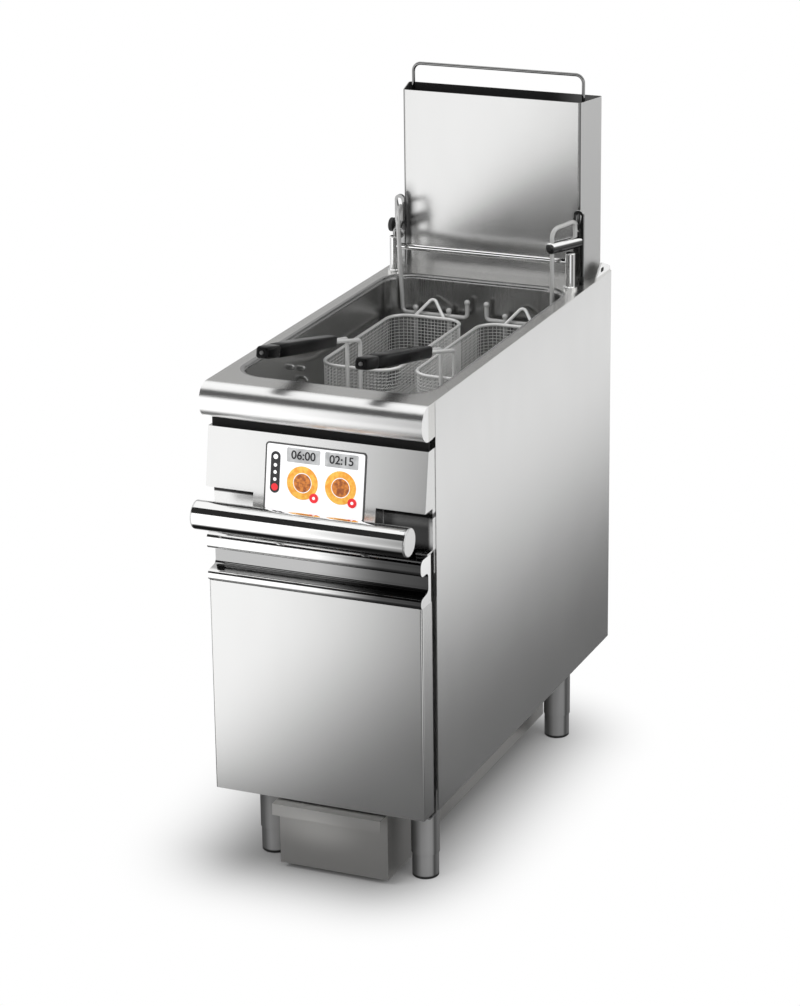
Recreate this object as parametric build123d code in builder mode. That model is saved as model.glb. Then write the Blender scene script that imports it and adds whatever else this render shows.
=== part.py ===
import os

from build123d import *

# Free-standing gas deep fryer with two lifted baskets. Millimetres, +Z up, +X to the right of
# someone facing the front, -Y towards them. The origin is on the floor under the middle of the box.

# Driving dimensions
width = 400.0
depth = 975.0
worktop_z = 890.0
sheet = 1.5
top_sheet = 2.0
gap = 0.3

half_width = width / 2
rear_y = depth / 2
front_y = -depth / 2

# Handrail
handrail_d = 50.0
handrail_wall = 2.0
handrail_half = 189.0
handrail_cap = 4.0
handrail_plug = 12.0
handrail_y = front_y + handrail_d / 2
handrail_z = 677.0
bracket_x = 78.0
bracket_d = 20.0
bracket_mid_z = handrail_z - 9.0

# Worktop nose and rear ledge
nose_front_y = handrail_y + 37.5
nose_top_r = 30.0
nose_low_r = 30.0
nose_low_z = 829.0
nose_return_y = nose_front_y + 47.0
nose_cap_rear_y = nose_front_y + 56.0
ledge_front_y = rear_y - 85.5
ledge_crest_y = rear_y - 53.0
ledge_height = 28.5
ledge_crest_r = 14.0
ledge_rear_y = rear_y - 6.0
ledge_rear_tall = 11.0
ledge_rear_r = 5.0
ledge_inner_x = 197.0
ledge_strip = 7.5
ledge_strip_tall = 8.0
plug_y = rear_y - 50.5
plug_z = worktop_z + 14.0
plug_long = 16.0
plug_d = 8.0
plug_set_back = 0.2

# Casing
side_front_y = nose_front_y + 57.5
side_bottom_z = 162.0
side_top_z = worktop_z - top_sheet
side_flange = 22.0
side_floor_flange = 36.0
rear_panel_y = rear_y - 25.5
base_half = 170.0
base_tall = 24.0
base_rail = 32.0
base_front_y = side_front_y + 2.5
base_rear_y = rear_y - 3.5
cross_bar = 60.0

# Supplies at the rear
pipe_d = 16.0
inlet_x = -150.0
inlet_z = 330.0
inlet_r = 10.48
inlet_bore = 14.0
inlet_body_d = 30.0
inlet_body_long = 12.0
inlet_nut_r = 17.0
inlet_nut_tall = 4.0
gland_x = 120.0
gland_z = 260.0
gland_bore = 12.0

# Legs
leg_x = 144.0
leg_front_y = -295.0
leg_rear_y = 357.5
leg_d = 50.0
leg_bore = 44.0
leg_bottom_z = 46.0
leg_plate = 12.0
foot_d = 47.0
stem_d = 20.0
stem_fit = 0.08

# Oil well, inside sizes
well_half = 171.0
well_front_y = -342.0
well_rear_y = 332.5
well_corner_r = 50.0
well_rim = 8.0
well_rim_tall = 10.0
well_slope_top_z = 862.0
well_slope_foot_z = 752.0
deep_front_y = -95.0
deep_rear_y = 325.0
deep_rear_z = 650.0
well_rear_foot_z = 680.0
deep_floor_front_z = 552.0
deep_floor_rear_z = 580.0
vee_top_z = 690.0
vee_low_z = 585.0
vee_low_half = 75.0
well_length = well_rear_y - well_front_y
well_mid_y = (well_rear_y + well_front_y) / 2
drain_y = -65.0
drain_d = 34.0
drain_bore = 28.0

# Burner box and flue
box_half = 187.0
box_front_y = deep_front_y - 5.0
box_rear_y = well_rear_y + 6.0
box_bottom_z = 545.0
box_top_z = 715.0
burner_x = 125.0
burner_z = 598.0
burner_d = 38.0
burner_bore = 32.0
burner_front_y = box_front_y - 20.0
burner_rear_y = 290.0
manifold_y = burner_front_y - 30.0
manifold_d = 21.0
duct_half = 148.0
duct_front_y = 345.0
duct_rear_y = 455.0
duct_bottom_z = 565.0
throat_half = 138.0
throat_low_z = 577.0
throat_high_z = 688.0
riser_half = 173.0
riser_rear_half = 191.0
riser_front_y = rear_y - 98.0
riser_rear_y = rear_y - 26.5
riser_top_z = 1222.0
riser_r = 6.0
bail_d = 6.0
bail_half = 166.0
bail_y = riser_front_y + 34.0
bail_top_z = 1265.5
bail_foot_z = riser_top_z - 26.0
bail_r = 15.0
bail_foot_r = 8.0

# Control fascia and display
fascia_half = 199.0
fascia_rear_y = side_front_y
fascia_top_y = nose_front_y + 30.5
fascia_top_z = 811.0
fascia_step_z = 709.0
fascia_lean = 16.5 / 102.0
fascia_block_half = 111.0
fascia_block_z = 656.0
fascia_recess_y = side_front_y - 13.0
fascia_bottom_z = 636.0
display_wide = 182.0
display_tall = 116.0
display_frame = 2.5
display_top_z = 797.0
display_proud = 1.5
display_outer_r = 6.0
display_inner_r = 4.0
glass_set_back = 0.3
glass_depth = 2.5
housing_depth = 18.0
board_thick = 1.6
chip_tall = 7.0
strip_y = fascia_top_y + 9.0

# Door
door_half = 195.0
door_front_y = nose_front_y + 5.5
door_thick = 42.0
door_rear_y = door_front_y + door_thick
door_bottom_z = 162.0
door_face_top_z = 545.0
door_top_z = 630.0
door_edge_r = 4.0
handle_front_y = door_front_y - 4.0
handle_back_y = door_front_y + 28.0
handle_sheet = 2.0
hinge_x = 187.0
hinge_y = door_front_y + 30.5
hinge_pin_d = 8.0
hinge_pin_fit = 0.08
hinge_block = 13.0

# Basket lifts
post_x = 173.0
post_y = well_rear_y + 7.0
post_d = 18.0
post_top_z = 958.0
post_stud_d = 10.0
post_stud_long = 22.0
post_collar_d = 26.0
hang_rail_d = 12.0
hang_rail_z = 940.0
bar_x = 176.0
bar_y = well_rear_y + 44.0
bar_wide = 19.0
bar_deep = 6.0
bar_low_z = 720.0
bar_top_z = 1028.0
arm_d = 22.0
arm_z = 970.0
arm_past = 8.0
left_arm_past = 0.0
arm_end_r = 5.0
rod_d = 14.0
rod_low_z = 500.0
rod_fit = 0.07
actuator_d = 40.0
actuator_low_z = 400.0
actuator_top_z = 705.0
carrier_d = 8.0
carrier_x = 146.5
left_carrier_top_x = 156.0
left_carrier_low_x = 147.5
carrier_y = well_rear_y - 16.0
carrier_top_z = 1004.0
carrier_cross_z = 822.0
peg_x = 19.0
peg_tip_z = 851.0
peg_ball_d = 11.0
prong_tip_z = 832.0
prong_low_z = 683.0
prong_front_y = 110.0
loop_x = bar_x - 4.5
loop_y = bar_y - 7.5
loop_top_z = arm_z + 40.0
knob_d = 26.0
knob_long = 11.0
knob_neck = 3.0
knob_z = arm_z - 1.0
carrier_bends = [8.0, 18.0, 9.0, 8.0]
prong_bend = 14.0
prong_x = (55.5, 121.5)
bar_slot = (20.0, 9.5)
bar_slot_z = bar_top_z - 16.0
bar_hole_d = 7.5
bar_hole_z = bar_top_z - 36.0
clamp_tall = 25.0
clamp_half = 12.0

# Baskets
basket_x = 88.5
basket_wide = 149.0
basket_front_y = -40.0
basket_rear_y = 305.5
basket_r = 40.0
basket_low_z = 688.5
basket_rim_z = 820.0
rim_d = 6.0
basket_wall = 0.8
basket_inset = 3.0
hook_half = 29.0
hook_apex_y = basket_rear_y + 20.0
hook_apex_z = basket_rim_z + 33.0
handle_wire_d = 7.0
handle_wire_half = 12.5
handle_wire_top_z = 874.0
grip_rear_y = -134.0
grip_rear_z = 895.0
grip_front_y = -411.0
grip_front_z = 952.0
grip_rear_size = (20.0, 16.0)
grip_waist_size = (25.0, 20.0)
grip_front_size = (25.0, 21.5)
grip_rear_r = 5.0
grip_front_r = 7.0
grip_waist_at = 0.85
handle_wire_bend = 9.0
handle_wire_end_half = 4.0
hook_bend = 8.0
basket_mid_y = (basket_front_y + basket_rear_y) / 2
basket_long = basket_rear_y - basket_front_y

# Oil tank
tank_half = 102.0
tank_front_y = -362.5
tank_rear_y = 395.0
tank_low_z = 10.0
tank_sump_rear_y = -200.0
tank_floor_z = 20.0
tank_top_z = 134.2
tank_wall = 1.2
tank_lip = 30.0
tank_lip_tall = 21.0
tank_flange = 10.0
tray_rear_y = 87.0
tray_z = 96.0
tray_tall = 14.0
tray_wall = 1.0
tray_leg_d = 8.0

# Gas valve, probe and drain
valve_x = -90.0
valve_z = (440.0, 520.0)
valve_half_wide = 36.0
valve_half_deep = 28.0
injector_d = 11.0
injector_long = 36.0
injector_bore = 2.0
nut_places = [(-130.0, 840.0), (-86.0, 825.0)]
nut_d = 11.0
nut_tall = 5.0
tube_d = 6.0
tube_stand_off = 11.0
tube_y = (-84.0, -64.0)
tube_top_z = (808.0, 790.0)
tube_low_z = 708.0
drain_valve_z = 470.0
drain_valve_r = 30.0
drain_outlet_z = 150.0
drain_stem_d = 18.0
drain_stem_long = 40.0
lever_long = 140.0
lever_thick = 3.0
lever_half_tall = 7.0
lever_grip = (60.0, 144.0)

# Door fittings and screws
catch_x = (-192.0, -172.0)
catch_z = (580.0, 620.0)
catch_gap = 0.7
hinge_plate = 3.0
hinge_tab = 40.0
hinge_pin_long = 22.0
panel_screw_x = 168.0
panel_screw_rows = [200.0, 420.0, 640.0, 860.0]
panel_screw_d = 9.0
panel_screw_tall = 3.0


def block(x_range, y_range, z_range, mode=Mode.ADD):
    """Rectangular block between two corners, joined to the part in hand."""
    centre = tuple(sum(span) / 2 for span in (x_range, y_range, z_range))
    sizes = [span[1] - span[0] for span in (x_range, y_range, z_range)]
    with Locations(centre):
        Box(*sizes, mode=mode)


def rod_along(axis, start, length, diameter, mode=Mode.ADD):
    """Round rod from a start point along an axis."""
    plane = Plane(origin=start, z_dir=axis)
    with Locations(plane):
        Cylinder(diameter / 2, length, align=(Align.CENTER, Align.CENTER, Align.MIN), mode=mode)


def bent_wire(points, radii, diameter):
    """Round wire along straight runs joined by arcs, one radius for each corner."""
    with BuildPart() as bent:
        with BuildLine() as route:
            FilletPolyline(*points, radius=radii)
        start = Plane(origin=route.wire() @ 0, z_dir=route.wire() % 0)
        with BuildSketch(start):
            Circle(diameter / 2)
        sweep(path=route.wire())
    return bent.part


def ring_wire(wide, long, corner_r, centre, diameter):
    """Round wire bent into a flat rounded rectangle."""
    corners = [(-1, -1), (1, -1), (1, 1), (-1, 1)]
    points = [(centre[0] + x * wide / 2, centre[1] + y * long / 2, centre[2]) for x, y in corners]
    with BuildPart() as ring:
        with BuildLine() as route:
            FilletPolyline(*points, radius=corner_r, close=True)
        start = Plane(origin=route.wire() @ 0, z_dir=route.wire() % 0)
        with BuildSketch(start):
            Circle(diameter / 2)
        sweep(path=route.wire())
    return ring.part


def mirrored(piece):
    """The same piece on the other side of the middle."""
    with BuildPart() as other:
        add(piece)
        mirror(about=Plane.YZ, mode=Mode.REPLACE)
    return other


def both_sides(piece):
    """One node that holds the piece and its mirror image."""
    with BuildPart() as pair:
        add(piece)
        mirror(about=Plane.YZ)
    return pair


# Base frame: a ring of rectangular tube with a cross bar over each pair of legs
base_z = (side_bottom_z - base_tall, side_bottom_z)
with BuildPart() as base_frame:
    block((-base_half, base_half), (base_front_y, base_rear_y), base_z)
    block(
        (-base_half + base_rail, base_half - base_rail),
        (base_front_y + base_rail, base_rear_y - base_rail),
        (base_z[0] - 1, base_z[1] + 1),
        mode=Mode.SUBTRACT,
    )
    for leg_y in (leg_front_y, leg_rear_y):
        block((-base_half + 1, base_half - 1), (leg_y - cross_bar / 2, leg_y + cross_bar / 2), base_z)

# Leg sleeves with a threaded plate on top
with BuildPart() as leg_sleeves:
    for leg_y in (leg_front_y, leg_rear_y):
        for side in (-1, 1):
            with Locations((side * leg_x, leg_y, leg_bottom_z)):
                Cylinder(leg_d / 2, base_z[0] - leg_bottom_z, align=(Align.CENTER, Align.CENTER, Align.MIN))
                Cylinder(
                    leg_bore / 2,
                    base_z[0] - leg_bottom_z - leg_plate,
                    align=(Align.CENTER, Align.CENTER, Align.MIN),
                    mode=Mode.SUBTRACT,
                )
                Cylinder(
                    stem_d / 2 + stem_fit,
                    base_z[0] - leg_bottom_z,
                    align=(Align.CENTER, Align.CENTER, Align.MIN),
                    mode=Mode.SUBTRACT,
                )


def levelling_foot(x, y):
    """Round foot with the threaded stem that turns in the leg's plate."""
    with BuildPart() as foot:
        with Locations((x, y, 0)):
            Cylinder(foot_d / 2, leg_bottom_z - 0.5, align=(Align.CENTER, Align.CENTER, Align.MIN))
        chamfer(foot.edges().group_by(Axis.Z)[0], 1.5)
        with Locations((x, y, 0)):
            Cylinder(stem_d / 2, base_z[0] - 1, align=(Align.CENTER, Align.CENTER, Align.MIN))
    return foot


foot_front_left = levelling_foot(-leg_x, leg_front_y)
foot_front_right = levelling_foot(leg_x, leg_front_y)
foot_rear_left = levelling_foot(-leg_x, leg_rear_y)
foot_rear_right = levelling_foot(leg_x, leg_rear_y)

# Side panels: one sheet each, folded in at the front, rear and bottom
with BuildPart() as side_panel_right:
    block((half_width - side_flange, half_width), (side_front_y, rear_y), (side_bottom_z, side_top_z))
    block(
        (half_width - side_flange - 1, half_width - sheet),
        (side_front_y + sheet, rear_y - sheet),
        (side_bottom_z + sheet, side_top_z + 1),
        mode=Mode.SUBTRACT,
    )
    block(
        (half_width - side_floor_flange, half_width - sheet),
        (side_front_y, rear_panel_y),
        (side_bottom_z, side_bottom_z + sheet),
    )
side_panel_left = mirrored(side_panel_right.part)

# Rear panel, set in from the rear edge of the sides
rear_panel_half = half_width - side_flange
with BuildPart() as rear_panel:
    block(
        (-rear_panel_half, rear_panel_half),
        (rear_panel_y, rear_panel_y + sheet),
        (side_bottom_z, side_top_z),
    )
    rod_along((0, 1, 0), (inlet_x, rear_panel_y - 1, inlet_z), 2 * sheet, 2 * inlet_r + gap, Mode.SUBTRACT)
    rod_along((0, 1, 0), (gland_x, rear_panel_y - 1, gland_z), 2 * sheet, gland_bore, Mode.SUBTRACT)

# Worktop: top sheet and rounded nose in one fold, closed nose ends, raised rear ledge
with BuildPart() as worktop:
    with BuildSketch(Plane.YZ):
        with BuildLine():
            top_line = Line((rear_y, worktop_z), (nose_front_y + nose_top_r, worktop_z))
            upper = RadiusArc(top_line @ 1, (nose_front_y, worktop_z - nose_top_r), -nose_top_r)
            front = Line(upper @ 1, (nose_front_y, nose_low_z + nose_low_r))
            lower = RadiusArc(front @ 1, (nose_front_y + nose_low_r, nose_low_z), -nose_low_r)
            Line(lower @ 1, (nose_return_y, nose_low_z))
            offset(amount=top_sheet, side=Side.LEFT)
        make_face()
    extrude(amount=half_width, both=True)
    for side in (-1, 1):
        with BuildSketch(Plane.YZ.offset(side * (half_width - top_sheet / 2))):
            with BuildLine():
                top_line = Line((nose_cap_rear_y, worktop_z - 1), (nose_front_y + nose_top_r, worktop_z - 1))
                upper = RadiusArc(top_line @ 1, (nose_front_y + 1, worktop_z - nose_top_r), -nose_top_r + 1)
                front = Line(upper @ 1, (nose_front_y + 1, nose_low_z + nose_low_r))
                lower = RadiusArc(front @ 1, (nose_front_y + nose_low_r, nose_low_z + 1), -nose_low_r + 1)
                base_line = Line(lower @ 1, (nose_cap_rear_y, nose_low_z + 1))
                Line(base_line @ 1, top_line @ 0)
            make_face()
        extrude(amount=top_sheet / 2, both=True)
    for side in (-1, 1):
        with BuildSketch(Plane.YZ.offset(side * ledge_inner_x)) as ear:
            with BuildLine():
                Polyline(
                    (ledge_front_y, worktop_z - 1),
                    (ledge_crest_y, worktop_z + ledge_height),
                    (ledge_rear_y, worktop_z + ledge_rear_tall),
                    (ledge_rear_y, worktop_z - 1),
                    close=True,
                )
            make_face()
            crest_corner = (ledge_crest_y, worktop_z + ledge_height, 0)
            rear_corner = (ledge_rear_y, worktop_z + ledge_rear_tall, 0)
            fillet(ear.vertices().sort_by_distance(crest_corner)[0], ledge_crest_r)
            fillet(ear.vertices().sort_by_distance(rear_corner)[0], ledge_rear_r)
        extrude(amount=side * (half_width - ledge_inner_x))
    block(
        (-ledge_inner_x - 1, ledge_inner_x + 1),
        (rear_y - ledge_strip, rear_y),
        (worktop_z - 1, worktop_z + ledge_strip_tall),
    )
    with BuildSketch(Plane.XY.offset(worktop_z + 1)):
        with Locations((0, well_mid_y)):
            RectangleRounded(
                2 * (well_half + well_rim + sheet),
                well_length + 2 * (well_rim + sheet),
                well_corner_r + well_rim + sheet,
            )
    extrude(amount=-top_sheet - 2, mode=Mode.SUBTRACT)
    block(
        (-riser_half + 4, riser_half - 4),
        (riser_front_y + 4, riser_rear_y - 4),
        (worktop_z - top_sheet - 1, worktop_z + 1),
        mode=Mode.SUBTRACT,
    )
    for side in (-1, 1):
        post_hole = (side * post_x, post_y, worktop_z - top_sheet - 1)
        rod_along((0, 0, 1), post_hole, top_sheet + 2, post_stud_d + 2 * gap, Mode.SUBTRACT)
        block(
            (side * bar_x - bar_wide / 2 - 0.5, side * bar_x + bar_wide / 2 + 0.5),
            (bar_y - bar_deep / 2 - 0.5, bar_y + bar_deep / 2 + 0.5),
            (worktop_z - top_sheet - 1, worktop_z + 1),
            mode=Mode.SUBTRACT,
        )
        with BuildSketch(Plane.YZ.offset(side * half_width)):
            with Locations((plug_y, plug_z)):
                SlotOverall(plug_long, plug_d)
        extrude(amount=-side * (half_width - ledge_inner_x + 1), mode=Mode.SUBTRACT)


def well_body(grow):
    """Shape of the well's hollow, grown outwards all round by a wall."""
    with BuildPart() as body:
        with BuildSketch(Plane.XY.offset(worktop_z - well_rim_tall)):
            with Locations((0, well_mid_y)):
                RectangleRounded(2 * (well_half + grow), well_length + 2 * grow, well_corner_r + grow)
        extrude(amount=-worktop_z / 2)
        with BuildSketch(Plane.YZ) as side_view:
            with BuildLine():
                Polyline(
                    (well_front_y, worktop_z + 20),
                    (well_front_y, well_slope_top_z),
                    (deep_front_y, well_slope_foot_z),
                    (deep_front_y, deep_floor_front_z),
                    (deep_rear_y, deep_floor_rear_z),
                    (deep_rear_y, deep_rear_z),
                    (well_rear_y, well_rear_foot_z),
                    (well_rear_y, worktop_z + 20),
                    close=True,
                )
            make_face()
            slope_foot = side_view.vertices().sort_by_distance((deep_front_y, well_slope_foot_z, 0))[0]
            slope_head = side_view.vertices().sort_by_distance((well_front_y, well_slope_top_z, 0))[0]
            fillet([slope_foot, slope_head], 30)
            if grow:
                offset(amount=grow, kind=Kind.INTERSECTION)
        extrude(amount=half_width, both=True, mode=Mode.INTERSECT)
        with BuildSketch(Plane.XZ) as front_view:
            with BuildLine():
                Polyline(
                    (-well_half, worktop_z + 20),
                    (-well_half, vee_top_z),
                    (-vee_low_half, vee_low_z),
                    (-vee_low_half, deep_floor_front_z - 40),
                    (vee_low_half, deep_floor_front_z - 40),
                    (vee_low_half, vee_low_z),
                    (well_half, vee_top_z),
                    (well_half, worktop_z + 20),
                    close=True,
                )
            make_face()
            if grow:
                offset(amount=grow, kind=Kind.INTERSECTION)
        extrude(amount=depth, both=True, mode=Mode.INTERSECT)
    return body.part


# Oil well: sloped front basin over a deep part that narrows below, with a rounded rim
with BuildPart() as well_ring:
    with BuildSketch(Plane.XY.offset(worktop_z - well_rim_tall)):
        with Locations((0, well_mid_y)):
            RectangleRounded(
                2 * (well_half + well_rim + sheet),
                well_length + 2 * (well_rim + sheet),
                well_corner_r + well_rim + sheet,
            )
            RectangleRounded(2 * well_half, well_length, well_corner_r, mode=Mode.SUBTRACT)
    extrude(amount=well_rim_tall)
    ring_top = well_ring.faces().sort_by(Axis.Z)[-1]
    fillet(ring_top.inner_wires()[0].edges(), well_rim)
with BuildPart() as oil_well:
    add(well_body(sheet))
    add(well_body(0), mode=Mode.SUBTRACT)
    add(well_ring.part)
    rod_along((0, 0, 1), (0, drain_y, deep_floor_front_z - 20), 40, drain_bore, Mode.SUBTRACT)

# Burner box round the deep part of the well, open to the flue at the rear
with BuildPart() as combustion_chamber:
    block((-box_half, box_half), (box_front_y, box_rear_y), (box_bottom_z, box_top_z))
    block(
        (-box_half + sheet, box_half - sheet),
        (box_front_y + sheet, box_rear_y - sheet),
        (box_bottom_z + sheet, box_top_z - sheet),
        mode=Mode.SUBTRACT,
    )
    add(well_body(sheet + gap), mode=Mode.SUBTRACT)
    block(
        (-throat_half, throat_half),
        (box_rear_y - 2 * sheet, box_rear_y + 1),
        (throat_low_z, throat_high_z),
        mode=Mode.SUBTRACT,
    )
    for side in (-1, 1):
        rod_along((0, 1, 0), (side * burner_x, box_front_y - 1, burner_z), 3 * sheet, burner_d, Mode.SUBTRACT)
    rod_along((0, 0, 1), (0, drain_y, box_bottom_z - 1), 2 * sheet, drain_d, Mode.SUBTRACT)

# Flue duct from the burner box up to the worktop
with BuildPart() as flue_duct:
    block((-duct_half, duct_half), (duct_front_y, duct_rear_y), (duct_bottom_z, worktop_z - top_sheet))
    block(
        (-throat_half - sheet, throat_half + sheet),
        (box_rear_y, duct_front_y + 5),
        (throat_low_z - sheet, throat_high_z + sheet),
    )
    block(
        (-duct_half + sheet, duct_half - sheet),
        (duct_front_y + sheet, duct_rear_y - sheet),
        (duct_bottom_z + sheet, worktop_z),
        mode=Mode.SUBTRACT,
    )
    block(
        (-throat_half, throat_half),
        (box_rear_y - 1, duct_front_y + 10),
        (throat_low_z, throat_high_z),
        mode=Mode.SUBTRACT,
    )

# Flue riser: tall open sleeve, wider at its rear wall than at its front wall
with BuildPart() as flue_riser:
    with BuildSketch(Plane.XY.offset(worktop_z)) as riser_plan:
        with BuildLine():
            Polyline(
                (-riser_half, riser_front_y),
                (riser_half, riser_front_y),
                (riser_rear_half, riser_rear_y),
                (-riser_rear_half, riser_rear_y),
                close=True,
            )
        make_face()
        fillet(riser_plan.vertices(), riser_r)
        offset(amount=-sheet, mode=Mode.SUBTRACT)
    extrude(amount=riser_top_z - worktop_z)

# Wire bail over the open top, its feet bent out to the side walls
bail_share = (bail_y - riser_front_y) / (riser_rear_y - riser_front_y)
bail_wall_x = riser_half + bail_share * (riser_rear_half - riser_half) - 0.75 * sheet
with BuildPart() as flue_bail:
    add(
        bent_wire(
            [
                (-bail_wall_x, bail_y, bail_foot_z),
                (-bail_half, bail_y, bail_foot_z),
                (-bail_half, bail_y, bail_top_z),
                (bail_half, bail_y, bail_top_z),
                (bail_half, bail_y, bail_foot_z),
                (bail_wall_x, bail_y, bail_foot_z),
            ],
            [bail_foot_r, bail_r, bail_r, bail_foot_r],
            bail_d,
        )
    )
    add(flue_riser.part, mode=Mode.SUBTRACT)

# Control fascia: leaning face, central block and a recess at each side, open at the rear
step_y = fascia_top_y - (fascia_top_z - fascia_step_z) * fascia_lean
block_y = fascia_top_y - (fascia_top_z - fascia_block_z) * fascia_lean


def fascia_outline(half, inset, with_block):
    """Closed side view of the fascia, drawn in by an inset on its outside faces."""
    rear = fascia_rear_y + (1 if inset else 0)
    low_front = (step_y + inset, fascia_step_z + inset)
    low_back_z = fascia_step_z
    if with_block:
        low_front = (block_y + inset, fascia_block_z + inset)
        low_back_z = fascia_block_z - 6
    with BuildPart() as outline:
        with BuildSketch(Plane.YZ):
            with BuildLine():
                Polyline(
                    (fascia_top_y + inset, fascia_top_z - inset),
                    low_front,
                    (fascia_recess_y + inset, low_back_z + inset),
                    (fascia_recess_y + inset, fascia_bottom_z + inset),
                    (rear, fascia_bottom_z + inset),
                    (rear, fascia_top_z - inset),
                    close=True,
                )
            make_face()
        extrude(amount=half - inset, both=True)
    return outline.part


display_tilt = Vector(0, -1, fascia_lean).normalized()
face_down = Vector(0, -fascia_lean, -1).normalized()
display_top = Vector(0, fascia_top_y - (fascia_top_z - display_top_z) * fascia_lean, display_top_z)
display_centre = display_top + face_down * (display_tall / 2)
display_plane = Plane(origin=display_centre, x_dir=(1, 0, 0), z_dir=display_tilt)
window_wide = display_wide - 2 * display_frame
window_tall = display_tall - 2 * display_frame

with BuildPart() as control_fascia:
    add(fascia_outline(fascia_half, 0, False))
    add(fascia_outline(fascia_block_half, 0, True))
    add(fascia_outline(fascia_half, sheet, False), mode=Mode.SUBTRACT)
    add(fascia_outline(fascia_block_half, sheet, True), mode=Mode.SUBTRACT)
    with BuildSketch(display_plane):
        Rectangle(window_wide, window_tall)
    extrude(amount=10, both=True, mode=Mode.SUBTRACT)

# Display: frame on the face, glass in the window, module behind
with BuildPart() as display_bezel:
    with BuildSketch(display_plane):
        RectangleRounded(display_wide, display_tall, display_outer_r)
        RectangleRounded(window_wide, window_tall, display_inner_r, mode=Mode.SUBTRACT)
    extrude(amount=display_proud)
with BuildPart() as display_glass:
    with BuildSketch(display_plane.offset(-glass_depth)):
        RectangleRounded(window_wide, window_tall, display_inner_r)
    extrude(amount=glass_depth + display_proud - glass_set_back)
with BuildPart() as display_housing:
    with BuildSketch(display_plane.offset(-glass_depth)):
        Rectangle(window_wide - 4, window_tall - 4)
    extrude(amount=-housing_depth)
board_plane = display_plane.offset(-glass_depth - housing_depth)
with BuildPart() as control_board:
    with BuildSketch(board_plane):
        Rectangle(window_wide - 24, window_tall - 16)
    extrude(amount=-board_thick)
    with BuildSketch(board_plane.offset(-board_thick)):
        with GridLocations(36, 30, 4, 3):
            Rectangle(20, 14)
    extrude(amount=-chip_tall)

# Dark strip that closes the slot under the nose
with BuildPart() as vent_strip:
    block((-fascia_half + 3, fascia_half - 3), (strip_y, strip_y + 2), (fascia_top_z, nose_low_z))

# Handrail, its caps and the two brackets that hold it off the fascia
with BuildPart() as handrail:
    rod_along((1, 0, 0), (-handrail_half, handrail_y, handrail_z), 2 * handrail_half, handrail_d)
    rod_along(
        (1, 0, 0),
        (-handrail_half - 1, handrail_y, handrail_z),
        2 * handrail_half + 2,
        handrail_d - 2 * handrail_wall,
        Mode.SUBTRACT,
    )
with BuildPart() as right_rail_cap:
    rod_along((1, 0, 0), (handrail_half, handrail_y, handrail_z), handrail_cap, handrail_d)
    fillet(right_rail_cap.edges().group_by(Axis.X)[-1], 2.5)
    rod_along(
        (-1, 0, 0),
        (handrail_half, handrail_y, handrail_z),
        handrail_plug,
        handrail_d - 2 * handrail_wall - 0.2,
    )
handrail_caps = both_sides(right_rail_cap.part)
with BuildPart() as right_rail_bracket:
    bracket_start = (bracket_x, fascia_recess_y - 8, bracket_mid_z)
    rod_along((0, -1, 0), bracket_start, bracket_start[1] - handrail_y, bracket_d)
    rod_along(
        (1, 0, 0),
        (-handrail_half, handrail_y, handrail_z),
        2 * handrail_half,
        handrail_d,
        Mode.SUBTRACT,
    )
    add(fascia_outline(fascia_block_half, 0, True), mode=Mode.SUBTRACT)
handrail_brackets = both_sides(right_rail_bracket.part)

# Posts at the rear corners of the well, and the rail between them
with BuildPart() as right_post:
    rod_along((0, 0, 1), (post_x, post_y, worktop_z), post_top_z - worktop_z, post_d)
    fillet(right_post.edges().group_by(Axis.Z)[-1], 2)
    rod_along((0, 0, 1), (post_x, post_y, worktop_z), 5, post_collar_d)
    rod_along((0, 0, -1), (post_x, post_y, worktop_z), post_stud_long, post_stud_d)
rail_posts = both_sides(right_post.part)
with BuildPart() as hang_rail:
    rod_along((1, 0, 0), (-post_x, post_y, hang_rail_z), 2 * post_x, hang_rail_d)
    for side in (-1, 1):
        post_foot = (side * post_x, post_y, worktop_z)
        rod_along((0, 0, 1), post_foot, post_top_z - worktop_z, post_d, Mode.SUBTRACT)

# Carriers: wire looped over the arm, with a cross wire, an end peg and two prongs under the basket
ball_r = peg_ball_d / 2


def carrier_wires(wire_top_x, wire_low_x):
    """The wires of one carrier, with its upright between the two places given."""
    add(
        bent_wire(
            [
                (loop_x, loop_y, arm_z + arm_d / 2 - 1),
                (loop_x, loop_y, loop_top_z),
                (wire_top_x, carrier_y, carrier_top_z),
                (wire_low_x, carrier_y, carrier_cross_z),
                (peg_x, carrier_y, carrier_cross_z),
                (peg_x, carrier_y, peg_tip_z),
            ],
            carrier_bends,
            carrier_d,
        )
    )
    for wire_x in prong_x:
        add(
            bent_wire(
                [
                    (wire_x, carrier_y, prong_tip_z),
                    (wire_x, carrier_y, prong_low_z),
                    (wire_x, prong_front_y, prong_low_z),
                ],
                prong_bend,
                carrier_d,
            )
        )
        with Locations((wire_x, carrier_y, prong_tip_z)):
            Sphere(ball_r)
    with Locations((peg_x, carrier_y, peg_tip_z)):
        Sphere(ball_r)


with BuildPart() as lift_carrier_right:
    carrier_wires(carrier_x, carrier_x)

# The left carrier's upright leans out, and its arm ends in line with the wire
with BuildPart() as left_carrier:
    carrier_wires(left_carrier_top_x, left_carrier_low_x)
lift_carrier_left = mirrored(left_carrier.part)


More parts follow.
